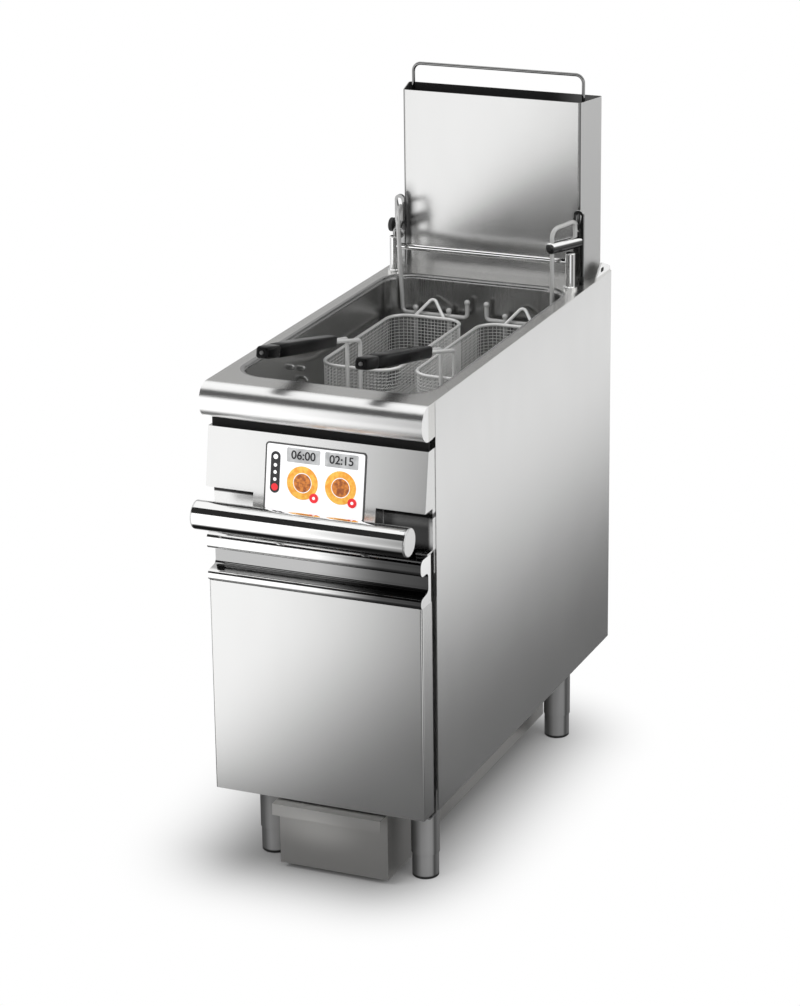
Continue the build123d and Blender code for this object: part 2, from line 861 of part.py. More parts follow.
# Lift bars: slotted flat bar with its round arm and the push rod below
def bar_with_arm(wire_x, past):
    """Bar, push rod and an arm that reaches the wire at the given X and runs past it."""
    with BuildSketch(Plane.XZ.offset(-bar_y - bar_deep / 2)) as bar_face:
        with Locations((bar_x, bar_low_z)):
            Rectangle(bar_wide, bar_top_z - bar_wide / 2 - bar_low_z, align=(Align.CENTER, Align.MIN))
        with Locations((bar_x, bar_top_z - bar_wide / 2)):
            Circle(bar_wide / 2)
        with Locations((bar_x, bar_hole_z)):
            Circle(bar_hole_d / 2, mode=Mode.SUBTRACT)
        with Locations((bar_x, bar_slot_z)):
            SlotOverall(*bar_slot, rotation=80, mode=Mode.SUBTRACT)
    extrude(bar_face.sketch, amount=bar_deep)
    arm_start = (bar_x - 1, bar_y, arm_z)
    arm_along = Vector(wire_x - bar_x + 1, carrier_y - bar_y, 0)
    arm_long = arm_along.length + past
    rod_along(arm_along, arm_start, arm_long, arm_d)
    arm_tip = Vector(arm_start) + arm_along.normalized() * arm_long
    fillet(edges().filter_by(GeomType.CIRCLE).sort_by_distance(arm_tip)[0], arm_end_r)
    block(
        (bar_x - bar_wide, bar_x + bar_wide),
        (bar_y + bar_deep / 2, bar_y + arm_d),
        (arm_z - arm_d, arm_z + arm_d),
        mode=Mode.SUBTRACT,
    )
    block(
        (bar_x + bar_wide / 2, bar_x + 2 * bar_wide),
        (bar_y - arm_d, bar_y + arm_d),
        (arm_z - arm_d, arm_z + arm_d),
        mode=Mode.SUBTRACT,
    )
    rod_along((0, 0, -1), (bar_x, bar_y, bar_low_z), bar_low_z - rod_low_z, rod_d)


left_lean = (left_carrier_top_x - left_carrier_low_x) / (carrier_top_z - carrier_cross_z)
left_wire_x = left_carrier_low_x + left_lean * (arm_z - carrier_cross_z)
with BuildPart() as lift_bar_right:
    bar_with_arm(carrier_x, arm_past)
    add(lift_carrier_right.part, mode=Mode.SUBTRACT)
with BuildPart() as left_bar:
    bar_with_arm(left_wire_x, left_arm_past)
    add(left_carrier.part, mode=Mode.SUBTRACT)
lift_bar_left = mirrored(left_bar.part)

# Clamp knob on the outer edge of the left bar
with BuildPart() as lift_knob:
    knob_x = -bar_x - bar_wide / 2
    rod_along((-1, 0, 0), (knob_x, bar_y, knob_z), knob_neck, knob_d / 2)
    rod_along((-1, 0, 0), (knob_x - knob_neck, bar_y, knob_z), knob_long - knob_neck, knob_d)
    fillet(lift_knob.edges().group_by(Axis.X)[0], 2.5)

# Linear actuators that push the lift bars
with BuildPart() as right_actuator:
    rod_along((0, 0, 1), (bar_x, bar_y, actuator_low_z), actuator_top_z - actuator_low_z, actuator_d)
    fillet(right_actuator.edges().filter_by(GeomType.CIRCLE), 3)
    rod_along(
        (0, 0, 1),
        (bar_x, bar_y, rod_low_z - 6),
        actuator_top_z - rod_low_z + 10,
        rod_d + 2 * rod_fit,
        Mode.SUBTRACT,
    )
    for clamp_z in (actuator_low_z + 30, actuator_top_z - 50):
        block(
            (bar_x + 15, half_width - sheet),
            (bar_y - clamp_half, bar_y + clamp_half),
            (clamp_z, clamp_z + clamp_tall),
        )
lift_actuators = both_sides(right_actuator.part)

# Baskets: thin open shell, welded wire frame, tapered grip
shell_wide = basket_wide - 2 * basket_inset
shell_long = basket_long - 2 * basket_inset
shell_r = basket_r - basket_inset
with BuildPart() as basket_shell_right:
    with BuildSketch(Plane.XY.offset(basket_low_z)):
        with Locations((basket_x, basket_mid_y)):
            RectangleRounded(shell_wide, shell_long, shell_r)
    extrude(amount=basket_rim_z - rim_d / 2 - basket_low_z)
    with BuildSketch(Plane.XY.offset(basket_low_z + basket_wall)):
        with Locations((basket_x, basket_mid_y)):
            RectangleRounded(
                shell_wide - 2 * basket_wall, shell_long - 2 * basket_wall, shell_r - basket_wall
            )
    extrude(amount=basket_rim_z, mode=Mode.SUBTRACT)
basket_shell_left = mirrored(basket_shell_right.part)

wire_y = basket_front_y - handle_wire_d / 2 + 0.6
grip_along = Vector(0, grip_front_y - grip_rear_y, grip_front_z - grip_rear_z)
with BuildPart() as basket_frame_right:
    add(
        ring_wire(
            basket_wide - rim_d,
            basket_long - rim_d,
            basket_r - rim_d / 2,
            (basket_x, basket_mid_y, basket_rim_z),
            rim_d,
        )
    )
    add(
        bent_wire(
            [
                (basket_x - hook_half, basket_rear_y - rim_d / 2, basket_rim_z),
                (basket_x, hook_apex_y, hook_apex_z),
                (basket_x + hook_half, basket_rear_y - rim_d / 2, basket_rim_z),
            ],
            hook_bend,
            rim_d,
        )
    )
    for side in (-1, 1):
        wire_x = basket_x + side * handle_wire_half
        add(
            bent_wire(
                [
                    (wire_x, wire_y, basket_low_z + 12),
                    (wire_x, wire_y, handle_wire_top_z),
                    (basket_x + side * handle_wire_end_half, grip_rear_y, grip_rear_z),
                ],
                handle_wire_bend,
                handle_wire_d,
            )
        )
basket_frame_left = mirrored(basket_frame_right.part)

grip_rear_plane = Plane(origin=(basket_x, grip_rear_y, grip_rear_z), x_dir=(1, 0, 0), z_dir=grip_along)
with BuildPart() as basket_grip_right:
    with BuildSketch(grip_rear_plane):
        RectangleRounded(*grip_rear_size, grip_rear_r)
    with BuildSketch(grip_rear_plane.offset(grip_along.length * grip_waist_at)):
        RectangleRounded(*grip_waist_size, grip_front_r)
    with BuildSketch(grip_rear_plane.offset(grip_along.length)):
        RectangleRounded(*grip_front_size, grip_front_r)
    loft(ruled=True)
    add(basket_frame_right.part, mode=Mode.SUBTRACT)
basket_grip_left = mirrored(basket_grip_right.part)

# Burners, gas manifold with its injectors, valve, pipe, inlet and igniter
with BuildPart() as right_burner:
    rod_along((0, 1, 0), (burner_x, burner_front_y, burner_z), burner_rear_y - burner_front_y, burner_d)
    rod_along(
        (0, 1, 0),
        (burner_x, burner_front_y - 1, burner_z),
        burner_rear_y - burner_front_y - 4,
        burner_bore,
        Mode.SUBTRACT,
    )
burners = both_sides(right_burner.part)
with BuildPart() as gas_manifold:
    rod_along((1, 0, 0), (-burner_x - 30, manifold_y, burner_z), 2 * burner_x + 60, manifold_d)
    rod_along((0, 0, 1), (valve_x, manifold_y, valve_z[1]), burner_z - valve_z[1], pipe_d)
    for side in (-1, 1):
        injector_tip = (side * burner_x, manifold_y + injector_long, burner_z)
        rod_along((0, -1, 0), injector_tip, injector_long, injector_d)
        rod_along((0, -1, 0), injector_tip, injector_d, injector_bore, Mode.SUBTRACT)
valve_front_y = manifold_y - valve_half_deep
with BuildPart() as gas_valve:
    block(
        (valve_x - valve_half_wide, valve_x + valve_half_wide),
        (valve_front_y, manifold_y + valve_half_deep),
        valve_z,
    )
    fillet(gas_valve.edges().filter_by(Axis.Z), 6)
    rod_along((0, -1, 0), (valve_x, valve_front_y, valve_z[1] - 30), 14, 30)
    rod_along((0, -1, 0), (valve_x + 20, valve_front_y, valve_z[0] + 18), 10, 16)
with BuildPart() as gas_pipe:
    add(
        bent_wire(
            [
                (valve_x, manifold_y, valve_z[0]),
                (valve_x, manifold_y, inlet_z),
                (inlet_x, manifold_y + 40, inlet_z),
                (inlet_x, rear_panel_y - inlet_body_long, inlet_z),
            ],
            [30, 24],
            pipe_d,
        )
    )
inlet_body_y = rear_panel_y - inlet_body_long
inlet_end_y = rear_y - 0.5
with BuildPart() as gas_inlet:
    rod_along((0, 1, 0), (inlet_x, inlet_body_y, inlet_z), inlet_body_long, inlet_body_d)
    rod_along((0, 1, 0), (inlet_x, rear_panel_y, inlet_z), inlet_end_y - rear_panel_y, 2 * inlet_r)
    with BuildSketch(Plane.XZ.offset(-rear_panel_y - sheet)):
        with Locations((inlet_x, inlet_z)):
            RegularPolygon(inlet_nut_r, 6)
    extrude(amount=-inlet_nut_tall)
    inlet_end = (inlet_x, inlet_end_y, inlet_z)
    rod_along((0, -1, 0), inlet_end, inlet_end_y - rear_panel_y, inlet_bore, Mode.SUBTRACT)
igniter_x = -burner_x - burner_d / 2 - 6
with BuildPart() as igniter:
    block((igniter_x - 3, igniter_x + 3), (box_front_y - 18, box_front_y), (burner_z - 8, burner_z + 32))
    rod_along((0, -1, 0), (igniter_x, box_front_y - 18, burner_z + 24), 20, 9)

# Temperature probe: bent tube on the left wall of the well, and the two domed nuts of its clip
probe_wall_x = -well_half
tube_x = probe_wall_x + tube_stand_off
with BuildPart() as temperature_probe:
    for nut_y, nut_z in nut_places:
        rod_along((1, 0, 0), (probe_wall_x, nut_y, nut_z), nut_tall, nut_d)
        with Locations((probe_wall_x + nut_tall, nut_y, nut_z)):
            Sphere(nut_d * 0.42)
    add(
        bent_wire(
            [
                (probe_wall_x, tube_y[0], tube_top_z[0]),
                (tube_x, tube_y[0], tube_top_z[0]),
                (tube_x, tube_y[0], tube_low_z),
                (tube_x, tube_y[1], tube_low_z),
                (tube_x, tube_y[1], tube_top_z[1]),
            ],
            1.5 * tube_d,
            tube_d,
        )
    )

# Drain: pipe from the well, ball valve, outlet over the tank, and the lever
drain_valve_low_z = drain_valve_z - drain_valve_r
drain_valve_high_z = drain_valve_z + drain_valve_r
with BuildPart() as drain_pipes:
    rod_along((0, 0, 1), (0, drain_y, drain_valve_high_z), 3 * drain_valve_r, drain_d)
    add(well_body(sheet), mode=Mode.SUBTRACT)
    rod_along((0, 0, 1), (0, drain_y, drain_outlet_z), drain_valve_low_z - drain_outlet_z, drain_d)
    pipe_reach = deep_floor_rear_z - drain_outlet_z
    rod_along((0, 0, 1), (0, drain_y, drain_outlet_z), pipe_reach, drain_bore, Mode.SUBTRACT)
with BuildPart() as drain_valve:
    with Locations((0, drain_y, drain_valve_z)):
        Sphere(drain_valve_r)
    rod_along((0, 0, 1), (0, drain_y, drain_valve_low_z), 2 * drain_valve_r, drain_d + 10)
    rod_along((0, -1, 0), (0, drain_y, drain_valve_z), drain_stem_long, drain_stem_d)
    rod_along((0, 0, 1), (0, drain_y, drain_valve_low_z), 2 * drain_valve_r, drain_bore, Mode.SUBTRACT)
lever_hub_y = drain_y - drain_stem_long - 0.5
lever_y = (lever_hub_y - 2 * lever_thick, lever_hub_y - lever_thick)
with BuildPart() as drain_lever:
    rod_along((0, -1, 0), (0, lever_hub_y, drain_valve_z), 2 * lever_thick, drain_stem_d + 6)
    block((0, lever_long), lever_y, (drain_valve_z - lever_half_tall, drain_valve_z + lever_half_tall))
    with BuildSketch(Plane.YZ.offset(lever_grip[0])):
        with Locations((sum(lever_y) / 2, drain_valve_z)):
            RectangleRounded(lever_thick + 8, 2 * lever_half_tall + 5, 5)
    extrude(amount=lever_grip[1] - lever_grip[0])

# Oil tank with its pull lip and hanging flanges, and the filter tray inside it
with BuildPart() as oil_tank:
    block((-tank_half, tank_half), (tank_front_y, tank_rear_y), (tank_floor_z, tank_top_z))
    block((-tank_half, tank_half), (tank_front_y, tank_sump_rear_y), (tank_low_z, tank_top_z))
    block(
        (-tank_half - tank_flange, tank_half + tank_flange),
        (tank_front_y + 40, tank_rear_y),
        (tank_top_z - tank_wall, tank_top_z),
    )
    block(
        (-tank_half, tank_half),
        (tank_front_y - tank_lip, tank_front_y + 1),
        (tank_top_z - tank_wall, tank_top_z),
    )
    block(
        (-tank_half, tank_half),
        (tank_front_y - tank_lip, tank_front_y - tank_lip + tank_wall),
        (tank_top_z - tank_lip_tall, tank_top_z),
    )
    block(
        (-tank_half + tank_wall, tank_half - tank_wall),
        (tank_front_y + tank_wall, tank_rear_y - tank_wall),
        (tank_floor_z + tank_wall, tank_top_z + 1),
        mode=Mode.SUBTRACT,
    )
    block(
        (-tank_half + tank_wall, tank_half - tank_wall),
        (tank_front_y + tank_wall, tank_sump_rear_y - tank_wall),
        (tank_low_z + tank_wall, tank_top_z + 1),
        mode=Mode.SUBTRACT,
    )
tray_half = tank_half - tank_wall - 1
tray_y = (tank_front_y + 3, tray_rear_y)
tray_legs = [
    (tray_y[0] + 2 * tray_leg_d, tank_low_z + tank_wall),
    (tray_y[1] - 2 * tray_leg_d, tank_floor_z + tank_wall),
]
with BuildPart() as tank_filter:
    block((-tray_half, tray_half), tray_y, (tray_z, tray_z + tray_tall))
    block(
        (-tray_half + tray_wall, tray_half - tray_wall),
        (tray_y[0] + tray_wall, tray_y[1] - tray_wall),
        (tray_z + tray_wall, tray_z + tray_tall + 1),
        mode=Mode.SUBTRACT,
    )
    for leg_y, leg_z in tray_legs:
        for side in (-1, 1):
            leg_foot = (side * (tray_half - 2 * tray_leg_d), leg_y, leg_z)
            rod_along((0, 0, 1), leg_foot, tray_z - leg_z, tray_leg_d)
rail_x = tank_half + tank_flange + 4
with BuildPart() as right_tank_rail:
    block((rail_x, rail_x + sheet), (leg_front_y - 20, leg_rear_y + 20), (tank_top_z - 4, base_z[0]))
    block(
        (tank_half + 2, rail_x + sheet),
        (leg_front_y - 20, leg_rear_y + 20),
        (tank_top_z - tank_wall - 0.5 - sheet, tank_top_z - tank_wall - 0.5),
    )
tank_rails = both_sides(right_tank_rail.part)

# Door: folded skin, liner, C-shaped handle fold with its end plates, hinge blocks
with BuildPart() as door_skin:
    block((-door_half, door_half), (door_front_y, door_rear_y), (door_bottom_z, door_face_top_z))
    front_edges = door_skin.faces().sort_by(Axis.Y)[0].edges()
    fillet(front_edges.filter_by(Axis.Z), door_edge_r)
    block(
        (-door_half + sheet, door_half - sheet),
        (door_front_y + sheet, door_rear_y + 1),
        (door_bottom_z + sheet, door_face_top_z + 1),
        mode=Mode.SUBTRACT,
    )
    rod_along((0, 0, 1), (hinge_x, hinge_y, door_bottom_z - 1), 4, hinge_pin_d + 3, Mode.SUBTRACT)


def handle_points(rear):
    """Side view of the handle: lower lip, finger recess, upper rail."""
    return [
        (rear, door_face_top_z),
        (handle_front_y, door_face_top_z),
        (handle_front_y, door_face_top_z + 17),
        (handle_back_y, door_face_top_z + 22),
        (handle_back_y, door_top_z - 29),
        (handle_front_y, door_top_z - 29),
        (handle_front_y, door_top_z),
        (rear, door_top_z),
    ]


handle_rear_y = door_rear_y - 3.5
handle_radii = [8, 9, 9, 9, 11, 12]
cap_thick = 2.0
with BuildPart() as door_handle:
    with BuildSketch(Plane.YZ):
        with BuildLine():
            FilletPolyline(*handle_points(handle_rear_y), radius=handle_radii)
            offset(amount=handle_sheet, side=Side.RIGHT)
        make_face()
    extrude(amount=door_half - cap_thick, both=True)
    for side in (-1, 1):
        with BuildSketch(Plane.YZ.offset(side * (door_half - cap_thick))):
            with BuildLine():
                fold = FilletPolyline(*handle_points(handle_rear_y), radius=handle_radii)
                Line(fold @ 1, fold @ 0)
            make_face()
        extrude(amount=side * cap_thick)
    rod_along((0, 0, 1), (hinge_x, hinge_y, door_top_z - 5), 10, hinge_pin_d + 3, Mode.SUBTRACT)
with BuildPart() as door_liner:
    block(
        (-door_half + sheet + gap, door_half - sheet - gap),
        (handle_rear_y + 0.5, handle_rear_y + 0.5 + sheet),
        (door_bottom_z + sheet + gap, door_top_z - handle_sheet - gap),
    )
block_rear_y = handle_rear_y + 0.5
with BuildPart() as door_hinge_blocks:
    block_x = (hinge_x - hinge_block / 2, hinge_x + hinge_block / 2 - 0.5)
    block_y_span = (hinge_y - hinge_block / 2, block_rear_y)
    block(block_x, block_y_span, (door_bottom_z + sheet, door_bottom_z + 26))
    block(block_x, block_y_span, (door_top_z - 26, door_top_z - handle_sheet))
    rod_along((0, 0, 1), (hinge_x, hinge_y, 0), worktop_z, hinge_pin_d + 2 * hinge_pin_fit, Mode.SUBTRACT)

# Hinge brackets with their pins, and the magnetic catch
low_plate_z = (door_bottom_z - 2 * hinge_plate, door_bottom_z - hinge_plate)
top_plate_z = (door_top_z + hinge_plate / 2, door_top_z + 1.5 * hinge_plate)
plate_x = (hinge_x - 12, half_width - 4)
plate_y = (hinge_y - 8, side_front_y)
tab_y = (side_front_y - 2.5, side_front_y)
with BuildPart() as hinge_brackets:
    block(plate_x, plate_y, low_plate_z)
    block(plate_x, tab_y, (low_plate_z[0], low_plate_z[1] + hinge_tab))
    rod_along((0, 0, 1), (hinge_x, hinge_y, low_plate_z[1]), hinge_pin_long, hinge_pin_d)
    block(plate_x, plate_y, top_plate_z)
    block(plate_x, tab_y, (top_plate_z[0] - hinge_tab, top_plate_z[1]))
    rod_along((0, 0, -1), (hinge_x, hinge_y, top_plate_z[0]), hinge_pin_long, hinge_pin_d)
with BuildPart() as door_catch:
    block(catch_x, (door_rear_y + catch_gap, side_front_y), catch_z)

# Cable gland in the rear panel, the casing screws and the plugs in the ledge
with BuildPart() as cable_gland:
    with BuildSketch(Plane.XZ.offset(-rear_panel_y - sheet)):
        with Locations((gland_x, gland_z)):
            RegularPolygon(15, 6)
    extrude(amount=-8)
    rod_along((0, 1, 0), (gland_x, rear_panel_y + sheet + 8, gland_z), 12, 22)
    rod_along((0, 1, 0), (gland_x, rear_panel_y + sheet - 1, gland_z), 30, gland_bore, Mode.SUBTRACT)
with BuildPart() as panel_screws:
    for side in (-1, 1):
        for screw_z in panel_screw_rows:
            screw_start = (side * panel_screw_x, rear_panel_y + sheet, screw_z)
            rod_along((0, 1, 0), screw_start, panel_screw_tall, panel_screw_d)
with BuildPart() as right_ledge_plug:
    with BuildSketch(Plane.YZ.offset(ledge_inner_x)):
        with Locations((plug_y, plug_z)):
            SlotOverall(plug_long, plug_d)
    extrude(amount=half_width - ledge_inner_x - plug_set_back)
ledge_plugs = both_sides(right_ledge_plug.part)

pieces = {
    "base_frame": base_frame,
    "leg_sleeves": leg_sleeves,
    "foot_front_left": foot_front_left,
    "foot_front_right": foot_front_right,
    "foot_rear_left": foot_rear_left,
    "foot_rear_right": foot_rear_right,
    "side_panel_left": side_panel_left,
    "side_panel_right": side_panel_right,
    "rear_panel": rear_panel,
    "worktop": worktop,
    "oil_well": oil_well,
    "combustion_chamber": combustion_chamber,
    "flue_duct": flue_duct,
    "flue_riser": flue_riser,
    "flue_bail": flue_bail,
    "control_fascia": control_fascia,
    "display_bezel": display_bezel,
    "display_glass": display_glass,
    "display_housing": display_housing,
    "control_board": control_board,
    "vent_strip": vent_strip,
    "handrail": handrail,
    "handrail_caps": handrail_caps,
    "handrail_brackets": handrail_brackets,
    "rail_posts": rail_posts,
    "hang_rail": hang_rail,
    "lift_bar_left": lift_bar_left,
    "lift_bar_right": lift_bar_right,
    "lift_carrier_left": lift_carrier_left,
    "lift_carrier_right": lift_carrier_right,
    "lift_knob": lift_knob,
    "lift_actuators": lift_actuators,
    "basket_shell_left": basket_shell_left,
    "basket_shell_right": basket_shell_right,
    "basket_frame_left": basket_frame_left,
    "basket_frame_right": basket_frame_right,
    "basket_grip_left": basket_grip_left,
    "basket_grip_right": basket_grip_right,
    "burners": burners,
    "gas_manifold": gas_manifold,
    "gas_valve": gas_valve,
    "gas_pipe": gas_pipe,
    "gas_inlet": gas_inlet,
    "igniter": igniter,
    "temperature_probe": temperature_probe,
    "drain_pipes": drain_pipes,
    "drain_valve": drain_valve,
    "drain_lever": drain_lever,
    "oil_tank": oil_tank,
    "tank_filter": tank_filter,
    "tank_rails": tank_rails,
    "door_skin": door_skin,
    "door_liner": door_liner,
    "door_handle": door_handle,
    "door_hinge_blocks": door_hinge_blocks,
    "hinge_brackets": hinge_brackets,
    "door_catch": door_catch,
    "cable_gland": cable_gland,
    "panel_screws": panel_screws,
    "ledge_plugs": ledge_plugs,
}

os.makedirs("parts", exist_ok=True)
for name, piece in pieces.items():
    piece.part.label = name
    export_step(piece.part, f"parts/{name}.step")
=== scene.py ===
"""Looks of a free-standing gas deep fryer: finishes for its CAD nodes, fine pieces and a studio."""

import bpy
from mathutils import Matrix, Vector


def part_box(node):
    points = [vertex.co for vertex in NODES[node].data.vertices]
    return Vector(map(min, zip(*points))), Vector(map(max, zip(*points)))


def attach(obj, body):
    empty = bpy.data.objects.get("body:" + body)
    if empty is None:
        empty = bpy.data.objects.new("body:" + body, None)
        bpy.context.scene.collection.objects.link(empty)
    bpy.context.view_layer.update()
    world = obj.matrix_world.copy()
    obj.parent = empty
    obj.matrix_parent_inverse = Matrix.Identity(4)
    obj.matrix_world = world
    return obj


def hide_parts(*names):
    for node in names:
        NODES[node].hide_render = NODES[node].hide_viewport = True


bl_info = {
    "name": "Gas Deep Fryer",
    "version": (1, 0, 0),
    "blender": (4, 5, 0),
    "location": "View3D > Sidebar > Fryer",
    "description": "Finishes, wire baskets, grips and display of a gas deep fryer, on its packed frame",
    "category": "Object",
}

import math

import bmesh
import bpy
from bpy.props import FloatProperty, FloatVectorProperty, PointerProperty, StringProperty
from mathutils import Matrix, Vector

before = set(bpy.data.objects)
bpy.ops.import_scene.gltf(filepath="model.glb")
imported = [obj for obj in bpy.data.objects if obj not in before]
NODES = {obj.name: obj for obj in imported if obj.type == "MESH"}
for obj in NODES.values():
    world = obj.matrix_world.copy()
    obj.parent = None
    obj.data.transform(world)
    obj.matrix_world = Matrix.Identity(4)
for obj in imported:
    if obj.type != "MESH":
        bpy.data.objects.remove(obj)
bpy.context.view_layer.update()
SIDES = ("left", "right")
MM = 0.001

# Places on the fryer that its finishes follow
WORKTOP_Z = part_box("flue_riser")[0].z
FASCIA_STEP_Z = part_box("control_fascia")[0].z + 73 * MM
FASCIA_BLOCK_HALF = 111 * MM
# Middle and spread of the painted highlight on the tank's front
TANK_PATCH = (-0.03, -0.40, 0.095)
TANK_PATCH_SPREAD = (9.0, 4.0, 16.0)

# Brush lines in the steel: cells to the metre, and depths
BRUSH_ACROSS = 2200.0
BRUSH_ALONG = 24.0
BRUSHED = 0.002 * MM
FINE_BRUSHED = 0.001 * MM

# Greys of the painted reflections round a leg, from its left front side to its right rear side
LEG_ACROSS = (0.92, 0.39, 0.0)
LEG_STOPS = (
    (0.0, 0.10), (0.15, 0.16), (0.35, 0.45), (0.60, 0.50),
    (0.73, 0.45), (0.82, 0.12), (0.92, 0.25), (1.0, 0.30),
)

# Layout of the screen in millimetres from its middle
SCREEN_COLUMNS = (-22, 47)
SCREEN_BAR_X = -72
SCREEN_MARKS = ((34, 4.2), (20, 3.0), (8, 3.0), (-4, 3.0))

# Point that the lamps face
LAMP_AIM = Vector((0.0, 0.0, 0.6))

# Part of the floor that keeps the real shadow and has a painted shadow in its colour
SHADOW_MIDDLE = (-0.045, 0.0, 0.0)
SHADOW_HALF = (0.10, 0.32, 0.0)
SHADOW_REACH = 0.30

# Brightness of the cards by X, in metres from the middle of the fryer
CARD_REACH = 4.0
CARD_STOPS = (
    (-4.0, 0.9), (-1.6, 0.95), (-0.75, 1.3), (-0.53, 1.3), (-0.46, 1.18), (-0.38, 0.86),
    (-0.29, 0.54), (-0.20, 0.30), (-0.10, 0.17), (0.45, 0.16), (0.62, 0.32), (0.80, 0.80),
    (1.0, 1.12), (1.3, 1.05), (1.7, 0.55), (2.0, 0.36), (2.7, 0.47), (4.0, 0.50),
)


# Shader expressions


class Socket:
    """A shader output that adds Math nodes when it stands in an expression."""

    def __init__(self, finish, output):
        self.finish = finish
        self.output = output

    def maths(self, operation, first, second):
        """A Math node of two sockets or numbers."""
        return self.finish.node("ShaderNodeMath", {"operation": operation}, {0: first, 1: second})

    def __add__(self, other):
        return self.maths("ADD", self, other)

    def __radd__(self, other):
        return self.maths("ADD", other, self)

    def __sub__(self, other):
        return self.maths("SUBTRACT", self, other)

    def __rsub__(self, other):
        return self.maths("SUBTRACT", other, self)

    def __mul__(self, other):
        return self.maths("MULTIPLY", self, other)

    def __rmul__(self, other):
        return self.maths("MULTIPLY", other, self)

    def most(self, other):
        """The larger of two values."""
        return self.maths("MAXIMUM", self, other)

    def above(self, low, high):
        """0 below low, 1 above high, and a smooth step between them."""
        limits = {"Value": self, "From Min": low, "From Max": high}
        return self.finish.node("ShaderNodeMapRange", {"interpolation_type": "SMOOTHSTEP"}, limits)


class Finish:
    """A node tree with one method that adds any node to it."""

    def __init__(self, owner):
        owner.use_nodes = True
        self.owner = owner
        self.tree = owner.node_tree
        self.tree.nodes.clear()

    def node(self, kind, settings=None, sockets=None, out=0):
        """Adds a node with its settings and its sockets' values or links, and gives one output."""
        made = self.tree.nodes.new(kind)
        for name, value in (settings or {}).items():
            if name == "stops":
                self.set_stops(made.color_ramp, value)
            else:
                setattr(made, name, value)
        for name, value in (sockets or {}).items():
            if isinstance(value, Socket):
                self.tree.links.new(value.output, made.inputs[name])
            else:
                made.inputs[name].default_value = value
        return Socket(self, made.outputs[out]) if made.outputs else None

    @staticmethod
    def set_stops(ramp, stops):
        """Gives a colour ramp its stops."""
        while len(ramp.elements) < len(stops):
            ramp.elements.new(1.0)
        for element, (place, colour) in zip(ramp.elements, stops):
            element.position = place
            element.color = (*colour, 1.0)

    def coords(self):
        """Object coordinates in metres."""
        return self.node("ShaderNodeTexCoord", out="Object")

    def normal(self):
        """The direction that the surface faces, in the object's own axes."""
        return self.node("ShaderNodeTexCoord", out="Normal")

    def part(self, vector, name):
        """One component of a vector."""
        return self.node("ShaderNodeSeparateXYZ", None, {"Vector": vector}, out=name)

    def axis(self, name):
        """One Object coordinate in metres."""
        return self.part(self.coords(), name)

    def facing(self, name):
        """How far the surface faces along one axis, from -1 to 1."""
        return self.part(self.normal(), name)

    def place(self, stretch):
        """Object coordinates, scaled along each axis."""
        return self.node("ShaderNodeMapping", None, {"Vector": self.coords(), "Scale": stretch})

    def vector(self, operation, first, second=(0.0, 0.0, 0.0), out="Vector"):
        """A Vector Math node."""
        return self.node("ShaderNodeVectorMath", {"operation": operation}, {0: first, 1: second}, out=out)

    def noise(self, stretch, detail):
        """Smooth noise with so many cells to the metre along each axis."""
        sockets = {"Vector": self.place(stretch), "Scale": 1.0, "Detail": detail}
        return self.node("ShaderNodeTexNoise", None, sockets)

    def mix(self, factor, first, second):
        """A blend of two colours."""
        sockets = {"Factor": factor}
        for name, colour in ((6, first), (7, second)):
            sockets[name] = colour if isinstance(colour, Socket) else (*colour, 1.0)
        return self.node("ShaderNodeMix", {"data_type": "RGBA"}, sockets, out=2)

    def bump(self, height, depth):
        """A normal for a relief of so many metres."""
        sockets = {"Height": height, "Distance": depth, "Strength": 1.0}
        return self.node("ShaderNodeBump", None, sockets, out="Normal")

    def surface(self, sockets):
        """Ends the material with a Principled shader."""
        shader = self.node("ShaderNodeBsdfPrincipled", None, sockets)
        self.node("ShaderNodeOutputMaterial", None, {"Surface": shader})
        return self.owner


def new_finish(name):
    """A new material with an empty node tree."""
    return Finish(bpy.data.materials.new(name))


def shaded(colour, share):
    """A colour made darker or lighter by a share."""
    return tuple(min(1.0, value * share) for value in colour)


def grey(value):
    """A colour without a hue."""
    return (value, value, value)


# Finishes


def steel(name, tone, gloss, brush="X", line_depth=BRUSHED, change=None):
    """Stainless steel with fine brush lines along one axis, faint clouds and wiping marks."""
    finish = new_finish(name)
    stretch = [BRUSH_ACROSS] * 3
    stretch["XYZ".index(brush)] = BRUSH_ALONG
    lines = finish.noise(stretch, 3.0)
    clouds = finish.noise((5.0, 5.0, 5.0), 3.0)
    wiped = finish.noise((26.0, 26.0, 9.0), 4.0)
    colour = finish.mix(clouds, shaded(tone, 0.97), shaded(tone, 1.02))
    sockets = {
        "Base Color": finish.mix(lines, shaded(tone, 0.98), colour),
        "Metallic": 1.0,
        "Roughness": gloss + (lines - 0.5) * 0.06 + (clouds - 0.5) * 0.04 + (wiped - 0.5) * 0.03,
        "Normal": finish.bump(lines, line_depth),
    }
    if change:
        change(finish, sockets)
    return finish.surface(sockets)


def painted_edge_highlights(finish, sockets):
    """Paints a highlight on the rolled front edge of the worktop and on its turned-up ears at the rear, as
    a near-white colour.
    """
    nose_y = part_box("worktop")[0].y
    front = 1.0 - finish.axis("Y").above(nose_y + 23 * MM, nose_y + 33 * MM)
    ears = finish.axis("Z").above(WORKTOP_Z + 3 * MM, WORKTOP_Z + 7 * MM)
    # painted highlight: near-white colour on the front edge and on the ears
    sockets["Base Color"] = finish.mix(front.most(ears), sockets["Base Color"], (0.96, 0.96, 0.955))
    sockets["Roughness"] = sockets["Roughness"] + front * 0.05


def painted_shade_below(low, high, value):
    """A change that paints shade, as a dark grey, on the surfaces that face up by less than a share, or
    face down.
    """

    def change(finish, sockets):
        upward = finish.facing("Z").above(low, high)
        # painted shade: the faces that don't turn up get a dark grey in place of the steel
        sockets["Base Color"] = finish.mix(upward, grey(value), sockets["Base Color"])

    return change


